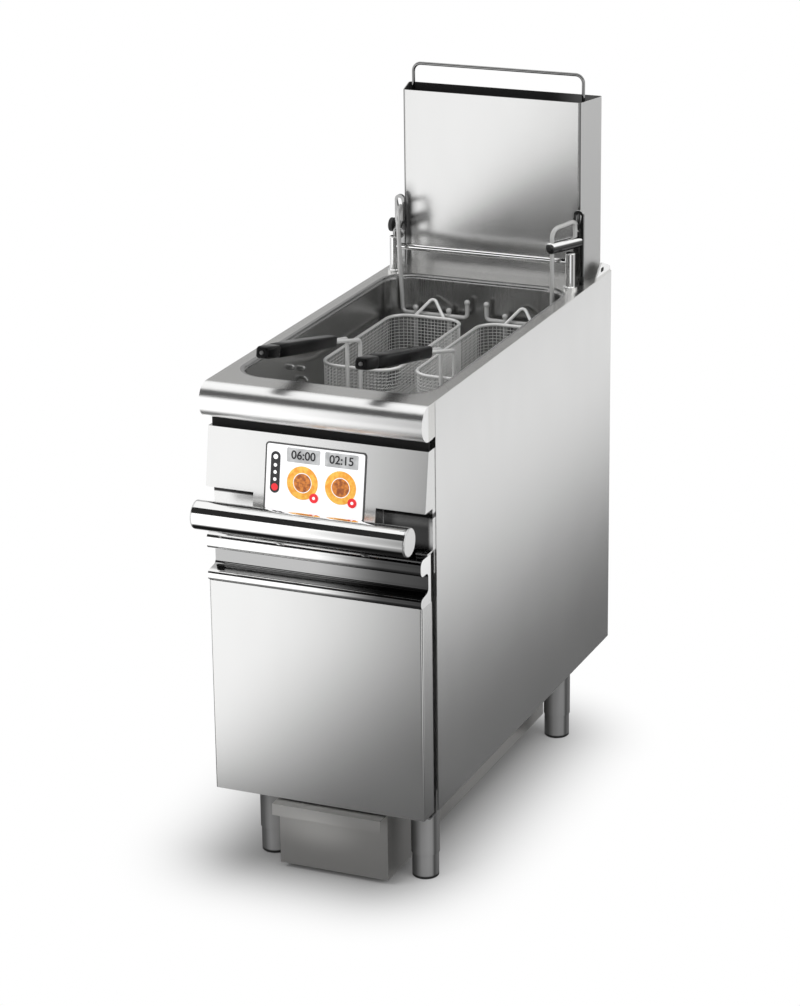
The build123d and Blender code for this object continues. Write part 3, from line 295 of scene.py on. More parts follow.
def riser_shades(finish, sockets):
    """Paints shade on the flue riser: a darker colour on its sides, which are also rougher, and a dark
    colour on its corner edges and on the lower ends of its front.
    """
    low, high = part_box("flue_riser")
    turned = finish.vector("ABSOLUTE", finish.normal())
    beside = finish.part(turned, "X").above(0.85, 0.95)
    edge = finish.vector("DOT_PRODUCT", turned, (0.62, 0.78, 0.0), "Value").above(0.90, 0.97)
    across = finish.axis("X")
    height = finish.axis("Z")
    left_end = 1.0 - across.above(low.x + 23 * MM, low.x + 47 * MM)
    right_end = across.above(high.x - 39 * MM, high.x - 17 * MM) * 0.7
    foot = height.above(WORKTOP_Z + 45 * MM, WORKTOP_Z + 60 * MM)
    head = height.above(WORKTOP_Z + 110 * MM, WORKTOP_Z + 170 * MM)
    ahead = 1.0 - finish.facing("Y").above(-0.8, -0.5)
    ends = left_end.most(right_end) * foot * (1.0 - head) * ahead
    # painted shade: sides, corner edges and lower front ends darkened
    metal = finish.mix(beside * 0.16, sockets["Base Color"], grey(0.05))
    metal = finish.mix(edge * 0.75, metal, grey(0.05))
    sockets["Base Color"] = finish.mix(ends * 0.85, metal, grey(0.03))
    sockets["Roughness"] = sockets["Roughness"] + beside * 0.16


def painted_flue_inside_shade(finish, sockets):
    """Paints shade on the inner walls of the flue riser, near black and not metallic, less dark at its
    right end where light reaches in.
    """
    riser_shades(finish, sockets)
    low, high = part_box("flue_riser")
    outward = finish.vector("SUBTRACT", finish.coords(), (0.0, (low.y + high.y) / 2, 0.0))
    outward = finish.vector("MULTIPLY", outward, (1.0, 1.0, 0.0))
    reach = finish.vector("DOT_PRODUCT", outward, finish.normal(), "Value")
    inside = 1.0 - reach.above(-12 * MM, -2 * MM)
    right_end = finish.axis("X").above(high.x - 99 * MM, high.x - 29 * MM)
    # painted shade: near black deep inside, a dark grey at the right end where light reaches in
    inside_shade = finish.mix(right_end, grey(0.010), grey(0.10))
    sockets["Base Color"] = finish.mix(inside, sockets["Base Color"], inside_shade)
    sockets["Metallic"] = 1.0 - inside
    sockets["Roughness"] = sockets["Roughness"] + inside * 0.45


def painted_handle_shade(finish, sockets):
    """Paints shade on the door handle in its finger recess, and a dark painted reflection towards its right
    end, but not on its end faces.
    """
    front_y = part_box("door_handle")[0].y
    along = 1.0 - finish.facing("X").above(0.4, 0.8)
    recess = finish.axis("Y").above(front_y + 5 * MM, front_y + 15 * MM) * along
    right_end = finish.axis("X").above(-20 * MM, 130 * MM) * along
    # painted shade in the recess, then a painted dark reflection towards the right end
    metal = finish.mix(recess * 0.72, sockets["Base Color"], grey(0.20))
    sockets["Base Color"] = finish.mix(right_end, metal, grey(0.11))


def shade_recess(finish, sockets):
    """Shades the fascia's two recesses: a dark line under the step, and a darker wall on the right."""
    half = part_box("control_fascia")[1].x
    block = FASCIA_BLOCK_HALF
    step = FASCIA_STEP_Z
    across = finish.axis("X")
    height = finish.axis("Z")
    beside = (across * across).above(block ** 2, (block + MM) ** 2)
    below = 1.0 - height.above(step - 11 * MM, step - 7 * MM)
    line = beside * below * height.above(step - 19 * MM, step - 16 * MM)
    right = across.above(block, block + MM) * (1.0 - across.above(half - 9 * MM, half - 3 * MM))
    low = 1.0 - height.above(step - 37 * MM, step - 19 * MM)
    shade = line.most(right * below * (low * 0.36 + 0.58))
    sockets["Base Color"] = finish.mix(shade, sockets["Base Color"], grey(0.03))


def painted_leg_reflections(finish, sockets):
    """Paints reflections on the round legs as upright grey bands, by the way the surface turns, with a dark
    ring at the floor.
    """
    across = finish.vector("DOT_PRODUCT", finish.normal(), LEG_ACROSS, "Value") * 0.5 + 0.5
    stops = [(place, grey(value)) for place, value in LEG_STOPS]
    # painted reflections: greys by the way the surface turns
    bands = finish.node("ShaderNodeValToRGB", {"stops": stops}, {"Fac": across})
    ring = 1.0 - finish.axis("Z").above(4 * MM, 7 * MM)
    sockets["Base Color"] = finish.mix(ring, bands, grey(0.03))
    sockets["Metallic"] = 0.45


def painted_tank_highlight(finish, sockets):
    """A painted highlight: a soft light patch on the upper left of the tank's front, where the steel is
    also a little less metallic.
    """
    apart = finish.vector("SUBTRACT", finish.coords(), TANK_PATCH)
    apart = finish.vector("MULTIPLY", apart, TANK_PATCH_SPREAD)
    patch = 1.0 - finish.vector("LENGTH", apart, out="Value").above(0.0, 1.0)
    # painted highlight: a near-white patch mixed into the steel's colour
    sockets["Base Color"] = finish.mix(patch, sockets["Base Color"], (1.0, 0.99, 0.96))
    sockets["Metallic"] = 0.97 - patch * 0.15


def bright_wire(name, tone):
    """Drawn wire, dull enough to look bright from all round."""
    finish = new_finish(name)
    drawn = finish.noise((90.0, 90.0, 90.0), 3.0)
    return finish.surface(
        {
            "Base Color": finish.mix(drawn, shaded(tone, 0.92), tone),
            "Metallic": 0.45,
            "Roughness": 0.28 + drawn * 0.10,
        }
    )


def black_plastic(name, colour, gloss):
    """Moulded black plastic with a fine spark-eroded grain."""
    finish = new_finish(name)
    grain = finish.noise((900.0, 900.0, 900.0), 2.0)
    rubbed = finish.noise((30.0, 30.0, 30.0), 3.0)
    return finish.surface(
        {
            "Base Color": finish.mix(rubbed, colour, shaded(colour, 1.6)),
            "Roughness": gloss + (rubbed - 0.5) * 0.16,
            "Specular IOR Level": 0.12,
            "Normal": finish.bump(grain, 0.03 * MM),
        }
    )


def brass(name):
    """Turned brass with brown tarnish."""
    finish = new_finish(name)
    tarnish = finish.noise((60.0, 60.0, 60.0), 4.0)
    turned = finish.noise((600.0, 20.0, 600.0), 2.0)
    return finish.surface(
        {
            "Base Color": finish.mix(tarnish, (0.72, 0.52, 0.22), (0.42, 0.28, 0.12)),
            "Metallic": 1.0,
            "Roughness": 0.26 + tarnish * 0.2,
            "Normal": finish.bump(turned, 0.02 * MM),
        }
    )


def cast_grey(name):
    """Die-cast grey metal with a sandy skin."""
    finish = new_finish(name)
    sand = finish.noise((420.0, 420.0, 420.0), 3.0)
    clouds = finish.noise((22.0, 22.0, 22.0), 3.0)
    return finish.surface(
        {
            "Base Color": finish.mix(clouds, (0.30, 0.31, 0.32), (0.44, 0.45, 0.46)),
            "Metallic": 0.85,
            "Roughness": 0.42 + (clouds - 0.5) * 0.2,
            "Normal": finish.bump(sand, 0.06 * MM),
        }
    )


def circuit_board(name):
    """Green board with lighter tracks."""
    finish = new_finish(name)
    sockets = {"Vector": finish.place((90.0, 90.0, 90.0)), "Scale": 1.0, "Mortar Size": 0.06}
    tracks = finish.node("ShaderNodeTexBrick", None, sockets, out="Fac")
    return finish.surface(
        {
            "Base Color": finish.mix(tracks, (0.02, 0.16, 0.07), (0.10, 0.36, 0.16)),
            "Roughness": 0.38 + tracks * 0.15,
        }
    )


def lit_glass(name, colour):
    """Front glass of the display over its lit panel."""
    finish = new_finish(name)
    pixels = finish.noise((1400.0, 1400.0, 1400.0), 1.0)
    falloff = finish.noise((12.0, 12.0, 12.0), 1.0)
    panel = finish.mix(falloff, shaded(colour, 0.97), colour)
    return finish.surface(
        {
            "Base Color": panel,
            "Roughness": 0.16 + pixels * 0.05,
            "Emission Color": panel,
            "Emission Strength": 0.25,
            "Coat Weight": 0.4,
            "Coat Roughness": 0.04,
        }
    )


def screen_colour(name, first, second, scale, glow=0.25):
    """A lit colour field on the screen that drifts between two tones."""
    finish = new_finish(name)
    drift = finish.noise((scale, scale, scale), 2.0)
    shade = finish.mix(drift.above(0.35, 0.65), first, second)
    return finish.surface(
        {
            "Base Color": shade,
            "Roughness": 0.22 + drift * 0.06,
            "Emission Color": shade,
            "Emission Strength": glow,
        }
    )


# Modelling steps


def deselect_all():
    """Leaves edit mode with nothing selected."""
    if bpy.context.object and bpy.context.object.mode != "OBJECT":
        bpy.ops.object.mode_set(mode="OBJECT")
    bpy.ops.object.select_all(action="DESELECT")


def begin(name):
    """Names the primitive that was just added and opens it for editing."""
    piece = bpy.context.object
    piece.name = name
    piece.data.name = name
    bpy.ops.object.mode_set(mode="EDIT")
    return piece


def pick(kind, test):
    """In edit mode, leaves selected only the vertices, edges or faces that pass a test."""
    bpy.ops.mesh.select_mode(type=kind)
    bpy.ops.mesh.select_all(action="DESELECT")
    shape = bmesh.from_edit_mesh(bpy.context.object.data)
    parts = {"VERT": shape.verts, "EDGE": shape.edges, "FACE": shape.faces}[kind]
    for part in parts:
        if test(part):
            part.select_set(True)
    shape.select_flush_mode()
    bmesh.update_edit_mesh(bpy.context.object.data)


def resize(wide, tall):
    """Stretches the selection along X and Y, round the origin."""
    bpy.ops.transform.resize(value=(wide, tall, 1.0), center_override=(0.0, 0.0, 0.0))


def extrude_up(height):
    """Draws the selected faces out along Z."""
    bpy.ops.mesh.extrude_region_move(TRANSFORM_OT_translate={"value": (0.0, 0.0, height)})


def extrude_rim(height):
    """Draws the selected edges out along Z."""
    bpy.ops.mesh.extrude_edges_move(TRANSFORM_OT_translate={"value": (0.0, 0.0, height)})


def rounded_plate(name, wide, tall, radius, steps=6):
    """A flat face with round corners round the origin, left open for editing."""
    deselect_all()
    bpy.ops.mesh.primitive_plane_add(size=1.0)
    piece = begin(name)
    bpy.ops.mesh.select_all(action="SELECT")
    resize(wide, tall)
    bpy.ops.mesh.bevel(offset=radius, segments=steps, affect="VERTICES")
    return piece


def settle(piece, place=Matrix.Identity(4)):
    """Closes the edit and puts the place into the mesh, so that the object stays at the origin."""
    deselect_all()
    piece.select_set(True)
    bpy.context.view_layer.objects.active = piece
    piece.matrix_world = place @ piece.matrix_world
    bpy.ops.object.transform_apply(location=True, rotation=True, scale=True)


def apply_modifier(piece, kind, **settings):
    """Adds a modifier and applies it at once."""
    bpy.context.view_layer.objects.active = piece
    bpy.ops.object.modifier_add(type=kind)
    modifier = piece.modifiers[-1]
    for name, value in settings.items():
        setattr(modifier, name, value)
    bpy.ops.object.modifier_apply(modifier=modifier.name)


def join(name, pieces):
    """Joins pieces of one finish into one."""
    deselect_all()
    for piece in pieces:
        piece.select_set(True)
    bpy.context.view_layer.objects.active = pieces[0]
    if len(pieces) > 1:
        bpy.ops.object.join()
    whole = bpy.context.object
    whole.name = name
    whole.data.name = name
    return whole


def dress(piece, material, body, angle=35.0):
    """Gives a finished piece its shading, material and body."""
    deselect_all()
    piece.select_set(True)
    bpy.context.view_layer.objects.active = piece
    bpy.ops.object.shade_smooth_by_angle(angle=math.radians(angle))
    piece.data.materials.clear()
    piece.data.materials.append(material)
    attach(piece, body)


# Wire baskets


def wire_basket(name, low, high, settings):
    """An open box of welded wire: a crossed floor whose edge turns up into stepped walls."""
    wide, long, tall = high - low
    bend = settings.floor_bend
    floor_wide = wide - 2 * bend - settings.wire
    floor_long = long - 2 * bend - settings.wire
    piece = rounded_plate(name, floor_wide, floor_long, settings.corner - bend)
    for normal, reach in (((1, 0, 0), floor_wide), ((0, 1, 0), floor_long)):
        count = round(reach / settings.pitch)
        for step in range(1, count):
            place = Vector(normal) * reach * (step / count - 0.5)
            bpy.ops.mesh.select_all(action="SELECT")
            bpy.ops.mesh.bisect(plane_co=place, plane_no=normal)
    pick("VERT", lambda vert: len(vert.link_edges) == 2)
    bpy.ops.mesh.dissolve_verts()
    bpy.ops.mesh.select_all(action="SELECT")
    bpy.ops.mesh.remove_doubles(threshold=settings.pitch * 0.4)
    pick("EDGE", lambda edge: edge.is_boundary)
    turn_up_edge(floor_wide, floor_long, bend)
    wall_steps = round((tall - bend) / settings.pitch)
    for _ in range(wall_steps):
        extrude_rim((tall - bend) / wall_steps)
    settle(piece, Matrix.Translation(((low.x + high.x) / 2, (low.y + high.y) / 2, low.z)))
    apply_modifier(piece, "WIREFRAME", thickness=settings.wire, use_even_offset=False)
    return piece


def turn_up_edge(wide, long, bend, steps=3):
    """Turns the selected edge of the basket floor outwards and up in a quarter round."""
    reached = 0.0
    for step in range(1, steps + 1):
        angle = math.pi / 2 * step / steps
        rise = bend * (1 - math.cos(angle)) - bend * (1 - math.cos(angle - math.pi / 2 / steps))
        out = bend * math.sin(angle)
        extrude_rim(rise)
        resize((wide + 2 * out) / (wide + 2 * reached), (long + 2 * out) / (long + 2 * reached))
        reached = out


# Grips


def grip(name, place, settings):
    """A moulded grip: rounded rear end, swelling body, groove and end cap."""
    long = settings.length
    wide, tall = settings.wide, settings.tall
    cap = settings.cap
    groove = settings.groove
    # Distance from the rear end, then shares of the full width and height
    rings = (
        (0.0, 0.66, 0.62),
        (1.5 * MM, 0.86, 0.86),
        (4.0 * MM, 0.93, 0.95),
        (long * 0.40, 1.00, 1.06),
        (long * 0.70, 1.02, 1.08),
        (long - cap - 1.6 * groove, 1.00, 1.04),
        (long - cap - groove, 0.93, 0.96),
        (long - cap, 0.93, 0.96),
        (long - cap + 0.6 * groove, 0.98, 1.00),
        (long - 7.0 * MM, 0.95, 0.95),
        (long - 2.0 * MM, 0.84, 0.82),
        (long, 0.64, 0.60),
    )
    piece = rounded_plate(name, wide * rings[0][1], tall * rings[0][2], settings.corner * 0.45, 5)
    for (before, wide_before, tall_before), (after, wide_after, tall_after) in zip(rings, rings[1:]):
        extrude_up(after - before)
        resize(wide_after / wide_before, tall_after / tall_before)
    bpy.ops.mesh.inset(thickness=settings.pin * 0.9)
    extrude_up(-1.5 * MM)
    bpy.ops.mesh.select_all(action="SELECT")
    bpy.ops.mesh.normals_make_consistent(inside=False)
    settle(piece, place)
    apply_modifier(piece, "BEVEL", width=0.5 * MM, segments=2, limit_method="ANGLE")
    return piece


def grip_place(node, settings):
    """Where a grip starts and how it slopes, from the box of its CAD node."""
    low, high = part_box(node)
    forward = Vector((0.0, -math.cos(settings.slope), math.sin(settings.slope)))
    right = Vector((1.0, 0.0, 0.0))
    turn = Matrix((right, forward.cross(right), forward)).transposed().to_4x4()
    return Matrix.Translation((low + high) / 2 - forward * settings.length / 2) @ turn


def grip_pin(name, place, settings):
    """The domed steel end of the rod inside a grip."""
    deselect_all()
    bpy.ops.mesh.primitive_cylinder_add(vertices=24, radius=settings.pin, depth=4.0 * MM)
    piece = begin(name)
    pick("FACE", lambda face: face.normal.z > 0.9)
    bpy.ops.mesh.inset(thickness=settings.pin * 0.35)
    bpy.ops.transform.translate(value=(0.0, 0.0, 0.8 * MM))
    settle(piece, place @ Matrix.Translation((0.0, 0.0, settings.length - 0.6 * MM)))
    apply_modifier(piece, "BEVEL", width=0.4 * MM, segments=2, limit_method="ANGLE")
    return piece


# Display


def display_place():
    """The plane of the display's front glass: X right, Y up along the glass, Z out of it."""
    mesh = NODES["display_glass"].data
    face = max(mesh.polygons, key=lambda polygon: -polygon.normal.y * polygon.area)
    outward = face.normal.normalized()
    right = Vector((1.0, 0.0, 0.0))
    upward = outward.cross(right)
    low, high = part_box("display_glass")
    middle = (low + high) / 2
    middle += outward * (mesh.vertices[face.vertices[0]].co - middle).dot(outward)
    return Matrix((right, upward, outward)).transposed().to_4x4(), middle


def on_screen(piece, middle, turn, x, y, layer):
    """Settles a flat piece at a place on the screen, one thin layer above another."""
    settle(piece, Matrix.Translation(middle) @ turn @ Matrix.Translation((x, y, layer)))


def screen_box(name, wide, tall, radius, thick):
    """A thin plate with round corners on the screen."""
    piece = rounded_plate(name, wide, tall, radius, 5)
    extrude_up(thick)
    return piece


def screen_disc(name, radius, thick, hole=0.0):
    """A thin disc on the screen, or a ring where it has a hole."""
    deselect_all()
    bpy.ops.mesh.primitive_circle_add(vertices=48, radius=radius, fill_type="NGON")
    piece = begin(name)
    bpy.ops.mesh.select_all(action="SELECT")
    if hole:
        bpy.ops.mesh.inset(thickness=radius - hole)
        bpy.ops.mesh.delete(type="FACE")
        bpy.ops.mesh.select_all(action="SELECT")
    extrude_up(thick)
    return piece


def screen_number(name, words, tall, thick):
    """Plain figures, made into a mesh of their own."""
    deselect_all()
    bpy.ops.object.text_add()
    text = bpy.context.object
    text.data.body = words
    text.data.size = tall
    text.data.align_x = "CENTER"
    text.data.align_y = "CENTER"
    text.data.offset = tall * 0.015
    text.data.extrude = thick / 2
    bpy.ops.object.convert(target="MESH")
    piece = bpy.context.object
    piece.name = name
    return piece


# Studio


def seen_rays(finish):
    """1 for the rays that show the background: camera, glossy and transmission rays."""
    kinds = ("Is Camera Ray", "Is Glossy Ray", "Is Transmission Ray")
    camera, glossy, through = (finish.node("ShaderNodeLightPath", out=kind) for kind in kinds)
    return (camera + glossy + through).above(0.0, 0.5)


def make_sky(scene, strength):
    """White where it is seen, softer where it lights."""
    scene.world = bpy.data.worlds.new("studio_sky")
    finish = Finish(scene.world)
    shown = seen_rays(finish)
    light = strength + shown * (1.0 - strength)
    shader = finish.node("ShaderNodeBackground", None, {"Color": (1, 1, 1, 1), "Strength": light})
    finish.node("ShaderNodeOutputWorld", None, {"Surface": shader})


def make_floor():
    """A pale floor, white away from the fryer, that keeps the real shadow round its feet and adds a painted
    shadow there: its colour darkens towards the fryer.
    """
    deselect_all()
    bpy.ops.mesh.primitive_plane_add(size=80.0)
    floor = begin("floor")
    bpy.ops.mesh.subdivide(number_cuts=8)
    settle(floor)
    finish = new_finish("pale_floor")
    apart = finish.vector("ABSOLUTE", finish.vector("SUBTRACT", finish.coords(), SHADOW_MIDDLE))
    beyond = finish.vector("MAXIMUM", finish.vector("SUBTRACT", apart, SHADOW_HALF))
    far = finish.vector("LENGTH", beyond, out="Value").above(0.0, SHADOW_REACH)
    # painted shadow: the floor's colour falls from 0.86 to 0.34 close to the fryer
    tone = finish.mix(far, grey(0.34), grey(0.86))
    lit = finish.node("ShaderNodeBsdfDiffuse", None, {"Color": tone})
    glow = finish.node("ShaderNodeEmission", None, {"Color": (1, 1, 1, 1), "Strength": 1.0})
    shader = finish.node("ShaderNodeMixShader", None, {0: seen_rays(finish) * far, 1: lit, 2: glow})
    finish.node("ShaderNodeOutputMaterial", None, {"Surface": shader})
    floor.data.materials.append(finish.owner)


def card(name, material, middle, tall, tilt):
    """A flat card, tilted up from level, that only shows in reflections."""
    deselect_all()
    bpy.ops.mesh.primitive_plane_add(size=1.0)
    piece = begin(name)
    bpy.ops.mesh.select_all(action="SELECT")
    resize(2 * CARD_REACH, tall)
    settle(piece, Matrix.Translation(middle) @ Matrix.Rotation(math.radians(tilt), 4, "X"))
    piece.data.materials.append(material)
    for way in ("camera", "diffuse", "shadow", "transmission", "volume_scatter"):
        setattr(piece, "visible_" + way, False)


def across_shade(finish):
    """Brightness of the cards by X: light at the far left and right, dark in front of the fryer."""
    sockets = {"Value": finish.axis("X"), "From Min": -CARD_REACH, "From Max": CARD_REACH}
    along = finish.node("ShaderNodeMapRange", None, sockets)
    stops = [((place / CARD_REACH + 1.0) / 2.0, grey(value)) for place, value in CARD_STOPS]
    return finish.node("ShaderNodeValToRGB", {"stops": stops}, {"Fac": along})


def glowing(finish, shade):
    """Ends a card's material with plain emission."""
    shader = finish.node("ShaderNodeEmission", None, {"Color": shade, "Strength": 1.0})
    finish.node("ShaderNodeOutputMaterial", None, {"Surface": shader})
    return finish.owner


def floor_light():
    """The floor's card, darker towards the front right, and dark close in front of the fryer as a painted
    shadow that the steel reflects.
    """
    finish = new_finish("card_floor")
    y = finish.axis("Y")
    beside = y.above(-0.1, 0.1)
    ahead = (0.0 - y).above(0.5, 0.9)
    corner = finish.axis("X").above(1.1, 1.3) * (1.0 - beside)
    # painted shadow: dark strip close in front of the fryer, seen only in reflections
    lit = beside.most(ahead) * (1.0 - corner)
    return glowing(finish, finish.mix(lit, grey(0.10), across_shade(finish)))


def plain_light(name, value):
    """A card of one brightness all over."""
    return glowing(new_finish(name), (*grey(value), 1.0))


def make_cards():
    """Cards on the floor, in front, above and behind, which shade the steel as in a studio."""
    front = new_finish("card_front")
    front_light = glowing(front, across_shade(front))
    dark, soft = plain_light("card_dark", 0.025), plain_light("card_grey", 0.48)
    card("floor_card", floor_light(), middle=(0.0, 0.0, 2 * MM), tall=2 * CARD_REACH, tilt=0.0)
    card("front_card", front_light, middle=(0.0, -1.5, 0.6), tall=1.2, tilt=90.0)
    card("dark_band", dark, middle=(0.0, -2.75, 3.325), tall=3.05, tilt=35.0)
    card("back_card", soft, middle=(0.0, 2.6, 2.0), tall=2.0, tilt=90.0)


def make_lamp(name, place, size, power):
    """A large soft lamp that points at the fryer and doesn't show in the steel."""
    deselect_all()
    aim = LAMP_AIM - Vector(place)
    turn = aim.to_track_quat("-Z", "Y").to_euler()
    bpy.ops.object.light_add(type="AREA", location=place, rotation=turn)
    lamp = bpy.context.object
    lamp.name = name
    lamp.data.size = size
    lamp.data.energy = power
    lamp.visible_glossy = False


def make_camera(scene, settings):
    """The camera, turned by azimuth, elevation and roll."""
    deselect_all()
    azimuth, elevation, roll = settings.aim
    turn = Matrix.Rotation(azimuth, 3, "Z") @ Matrix.Rotation(math.pi / 2 - elevation, 3, "X")
    turn = turn @ Matrix.Rotation(roll, 3, "Z")
    bpy.ops.object.camera_add(location=settings.camera, rotation=turn.to_euler())
    camera = bpy.context.object
    camera.name = "camera"
    camera.data.lens = settings.lens
    camera.data.sensor_width = 36.0
    camera.data.clip_end = 200.0
    scene.camera = camera


# Settings


class FRYER_PG_steel(bpy.types.PropertyGroup):
    """Tones and gloss of the metal."""

    satin_tone: FloatVectorProperty(
        name="Satin tone", description="Colour of the panels", subtype="COLOR", size=3,
        default=(0.74, 0.74, 0.735),
    )
    satin_gloss: FloatProperty(
        name="Satin roughness", description="Roughness of the panels", subtype="FACTOR",
        default=0.24, min=0.0, max=1.0,
    )
    top_tone: FloatVectorProperty(
        name="Top tone", description="Colour of the worktop", subtype="COLOR", size=3,
        default=(0.70, 0.695, 0.68),
    )
    well_tone: FloatVectorProperty(
        name="Well tone", description="Colour of the oil well", subtype="COLOR", size=3,
        default=(0.43, 0.43, 0.425),
    )
    wire_tone: FloatVectorProperty(
        name="Wire tone", description="Colour of the basket wires", subtype="COLOR", size=3,
        default=(0.88, 0.88, 0.87),
    )
    tank_tone: FloatVectorProperty(
        name="Tank tone", description="Colour of the oil tank", subtype="COLOR", size=3,
        default=(0.84, 0.83, 0.81),
    )
    rail_tone: FloatVectorProperty(
        name="Rail tone", description="Colour of the polished rails", subtype="COLOR", size=3,
        default=(0.95, 0.95, 0.945),
    )
    polish: FloatProperty(
        name="Polished roughness", description="Roughness of the rails", subtype="FACTOR",
        default=0.06, min=0.0, max=1.0,
    )


class FRYER_PG_basket(bpy.types.PropertyGroup):
    """Sizes of the wire baskets."""

    pitch: FloatProperty(
        name="Pitch", description="From wire to wire", unit="LENGTH", default=6.0 * MM, min=2.0 * MM
    )
    wire: FloatProperty(
        name="Wire", description="Thickness of the mesh wire", unit="LENGTH", default=1.3 * MM
    )
    corner: FloatProperty(
        name="Corner", description="Radius of the basket's corners", unit="LENGTH", default=37.0 * MM
    )
    floor_bend: FloatProperty(
        name="Floor bend", description="Radius between floor and wall", unit="LENGTH", default=9.0 * MM
    )


class FRYER_PG_grip(bpy.types.PropertyGroup):
    """Sizes of the basket grips."""

    wide: FloatProperty(name="Wide", description="Width of the body", unit="LENGTH", default=25.0 * MM)
    tall: FloatProperty(name="Tall", description="Height of the body", unit="LENGTH", default=21.5 * MM)
    corner: FloatProperty(name="Corner", description="Radius of the edges", unit="LENGTH", default=7.0 * MM)
    cap: FloatProperty(name="Cap", description="Length of the end cap", unit="LENGTH", default=47.0 * MM)
    groove: FloatProperty(name="Groove", description="Width of the groove", unit="LENGTH", default=3.0 * MM)
    pin: FloatProperty(name="Pin", description="Radius of the end pin", unit="LENGTH", default=3.6 * MM)
    length: FloatProperty(
        name="Length", description="Length of the grip", unit="LENGTH", default=282.5 * MM
    )
    slope: FloatProperty(
        name="Slope", description="Rise towards the front", subtype="ANGLE", default=math.radians(11.63)
    )


class FRYER_PG_display(bpy.types.PropertyGroup):
    """Colours and figures of the display."""

    panel: FloatVectorProperty(
        name="Panel", description="Lit background", subtype="COLOR", size=3, default=(0.92, 0.92, 0.93)
    )
    warm: FloatVectorProperty(
        name="Warm", description="Dial colour", subtype="COLOR", size=3, default=(0.82, 0.33, 0.03)
    )
    red: FloatVectorProperty(
        name="Red", description="Round buttons", subtype="COLOR", size=3, default=(0.80, 0.02, 0.03)
    )
    first_time: StringProperty(name="First time", description="Left figures", default="06:00")
    second_time: StringProperty(name="Second time", description="Right figures", default="02:15")


class FRYER_PG_stage(bpy.types.PropertyGroup):
    """Light and camera."""

    sky: FloatProperty(name="Sky", description="Light from all round", default=0.55, min=0.0)
    key: FloatProperty(name="Key", description="Power of the large lamp", unit="POWER", default=150.0)
    fill: FloatProperty(name="Fill", description="Power of the side lamp", unit="POWER", default=60.0)
    lens: FloatProperty(name="Lens", description="Focal length in millimetres", default=114.89)
    camera: FloatVectorProperty(
        name="Camera", description="Place of the camera", subtype="XYZ", unit="LENGTH", size=3,
        default=(2.1053, -4.9477, 2.4684),
    )
    aim: FloatVectorProperty(
        name="Aim", description="Azimuth, elevation and roll", subtype="EULER", size=3,
        default=(math.radians(23.27), math.radians(19.46), math.radians(-0.76)),
    )


# Operators


class FRYER_OT_finishes(bpy.types.Operator):
    """Gives every CAD node its finish"""

    bl_idname = "fryer.finishes"
    bl_label = "Finishes"

    def execute(self, context):
        tones = context.scene.fryer_steel
        by_slot = {
            "satin_steel": steel("satin_steel", tones.satin_tone, tones.satin_gloss),
            "polished_steel": steel("polished_steel", tones.rail_tone, tones.polish, "X", FINE_BRUSHED),
            "well_steel": steel("well_steel", tones.well_tone, 0.26, "Z", FINE_BRUSHED),
            "wire_steel": bright_wire("wire_steel", tones.wire_tone),
            "black_grip": black_plastic("black_grip", (0.0015, 0.0015, 0.0017), 0.30),
            "black_trim": black_plastic("black_trim", grey(0.010), 0.45),
            "screen": lit_glass("screen_panel", context.scene.fryer_display.panel),
            "board": circuit_board("circuit_board"),
            "brass": brass("brass"),
            "grey_metal": cast_grey("cast_grey"),
        }
        panel = steel("panel_steel", tones.satin_tone, tones.satin_gloss, "Z")
        tank = steel("tank_steel", tones.tank_tone, 0.34, change=painted_tank_highlight)
        foot = steel("foot_steel", tones.satin_tone, 0.30, "Z", FINE_BRUSHED, painted_leg_reflections)
        carrier = bright_wire("carrier_wire", shaded(tones.wire_tone, 0.62))
        rail, fine = tones.rail_tone, FINE_BRUSHED
        satin, satin_gloss = tones.satin_tone, tones.satin_gloss
        # Painted shade under the handrail, and on the right lift bar's faces that don't face up
        rail_shade_below = painted_shade_below(-0.46, -0.28, 0.04)
        arm_shade_below = painted_shade_below(0.25, 0.5, 0.07)
        by_node = {
            "worktop": steel("worktop_steel", tones.top_tone, 0.25, "Y", change=painted_edge_highlights),
            "flue_riser": steel("flue_steel", satin, satin_gloss, "Z", change=painted_flue_inside_shade),
            "flue_bail": steel("bail_steel", shaded(satin, 0.4), tones.polish, "X", fine),
            "control_fascia": steel("fascia_steel", satin, satin_gloss, change=shade_recess),
            "door_handle": steel("handle_steel", rail, 0.10, "X", fine, painted_handle_shade),
            "handrail": steel("handrail_steel", rail, tones.polish, "X", fine, rail_shade_below),
            "handrail_caps": steel("rail_cap_steel", shaded(rail, 0.72), 0.20, "Z", fine),
            # painted shade: the left lift bar gets the rail steel darkened to 0.4, the right bar keeps full
            # tone
            "lift_bar_left": steel("lift_steel_left_shaded", shaded(rail, 0.4), 0.16, "Z", fine),
            "lift_bar_right": steel("lift_steel_right", rail, 0.16, "Z", fine, arm_shade_below),
            "lift_knob": black_plastic("knob_plastic", grey(0.035), 0.45),
            "display_bezel": black_plastic("grey_bezel", grey(0.07), 0.40),
            "leg_sleeves": foot,
            "oil_tank": tank,
            "tank_filter": tank,
        }
        by_node.update({name: foot for name in NODES if name.startswith("foot_")})
        for side in SIDES:
            by_node["side_panel_" + side] = panel
            by_node["lift_carrier_" + side] = carrier
        for name, node in NODES.items():
            slot = node.data.materials[0].name
            node.data.materials[0] = by_node.get(name) or by_slot[slot]
        return {"FINISHED"}


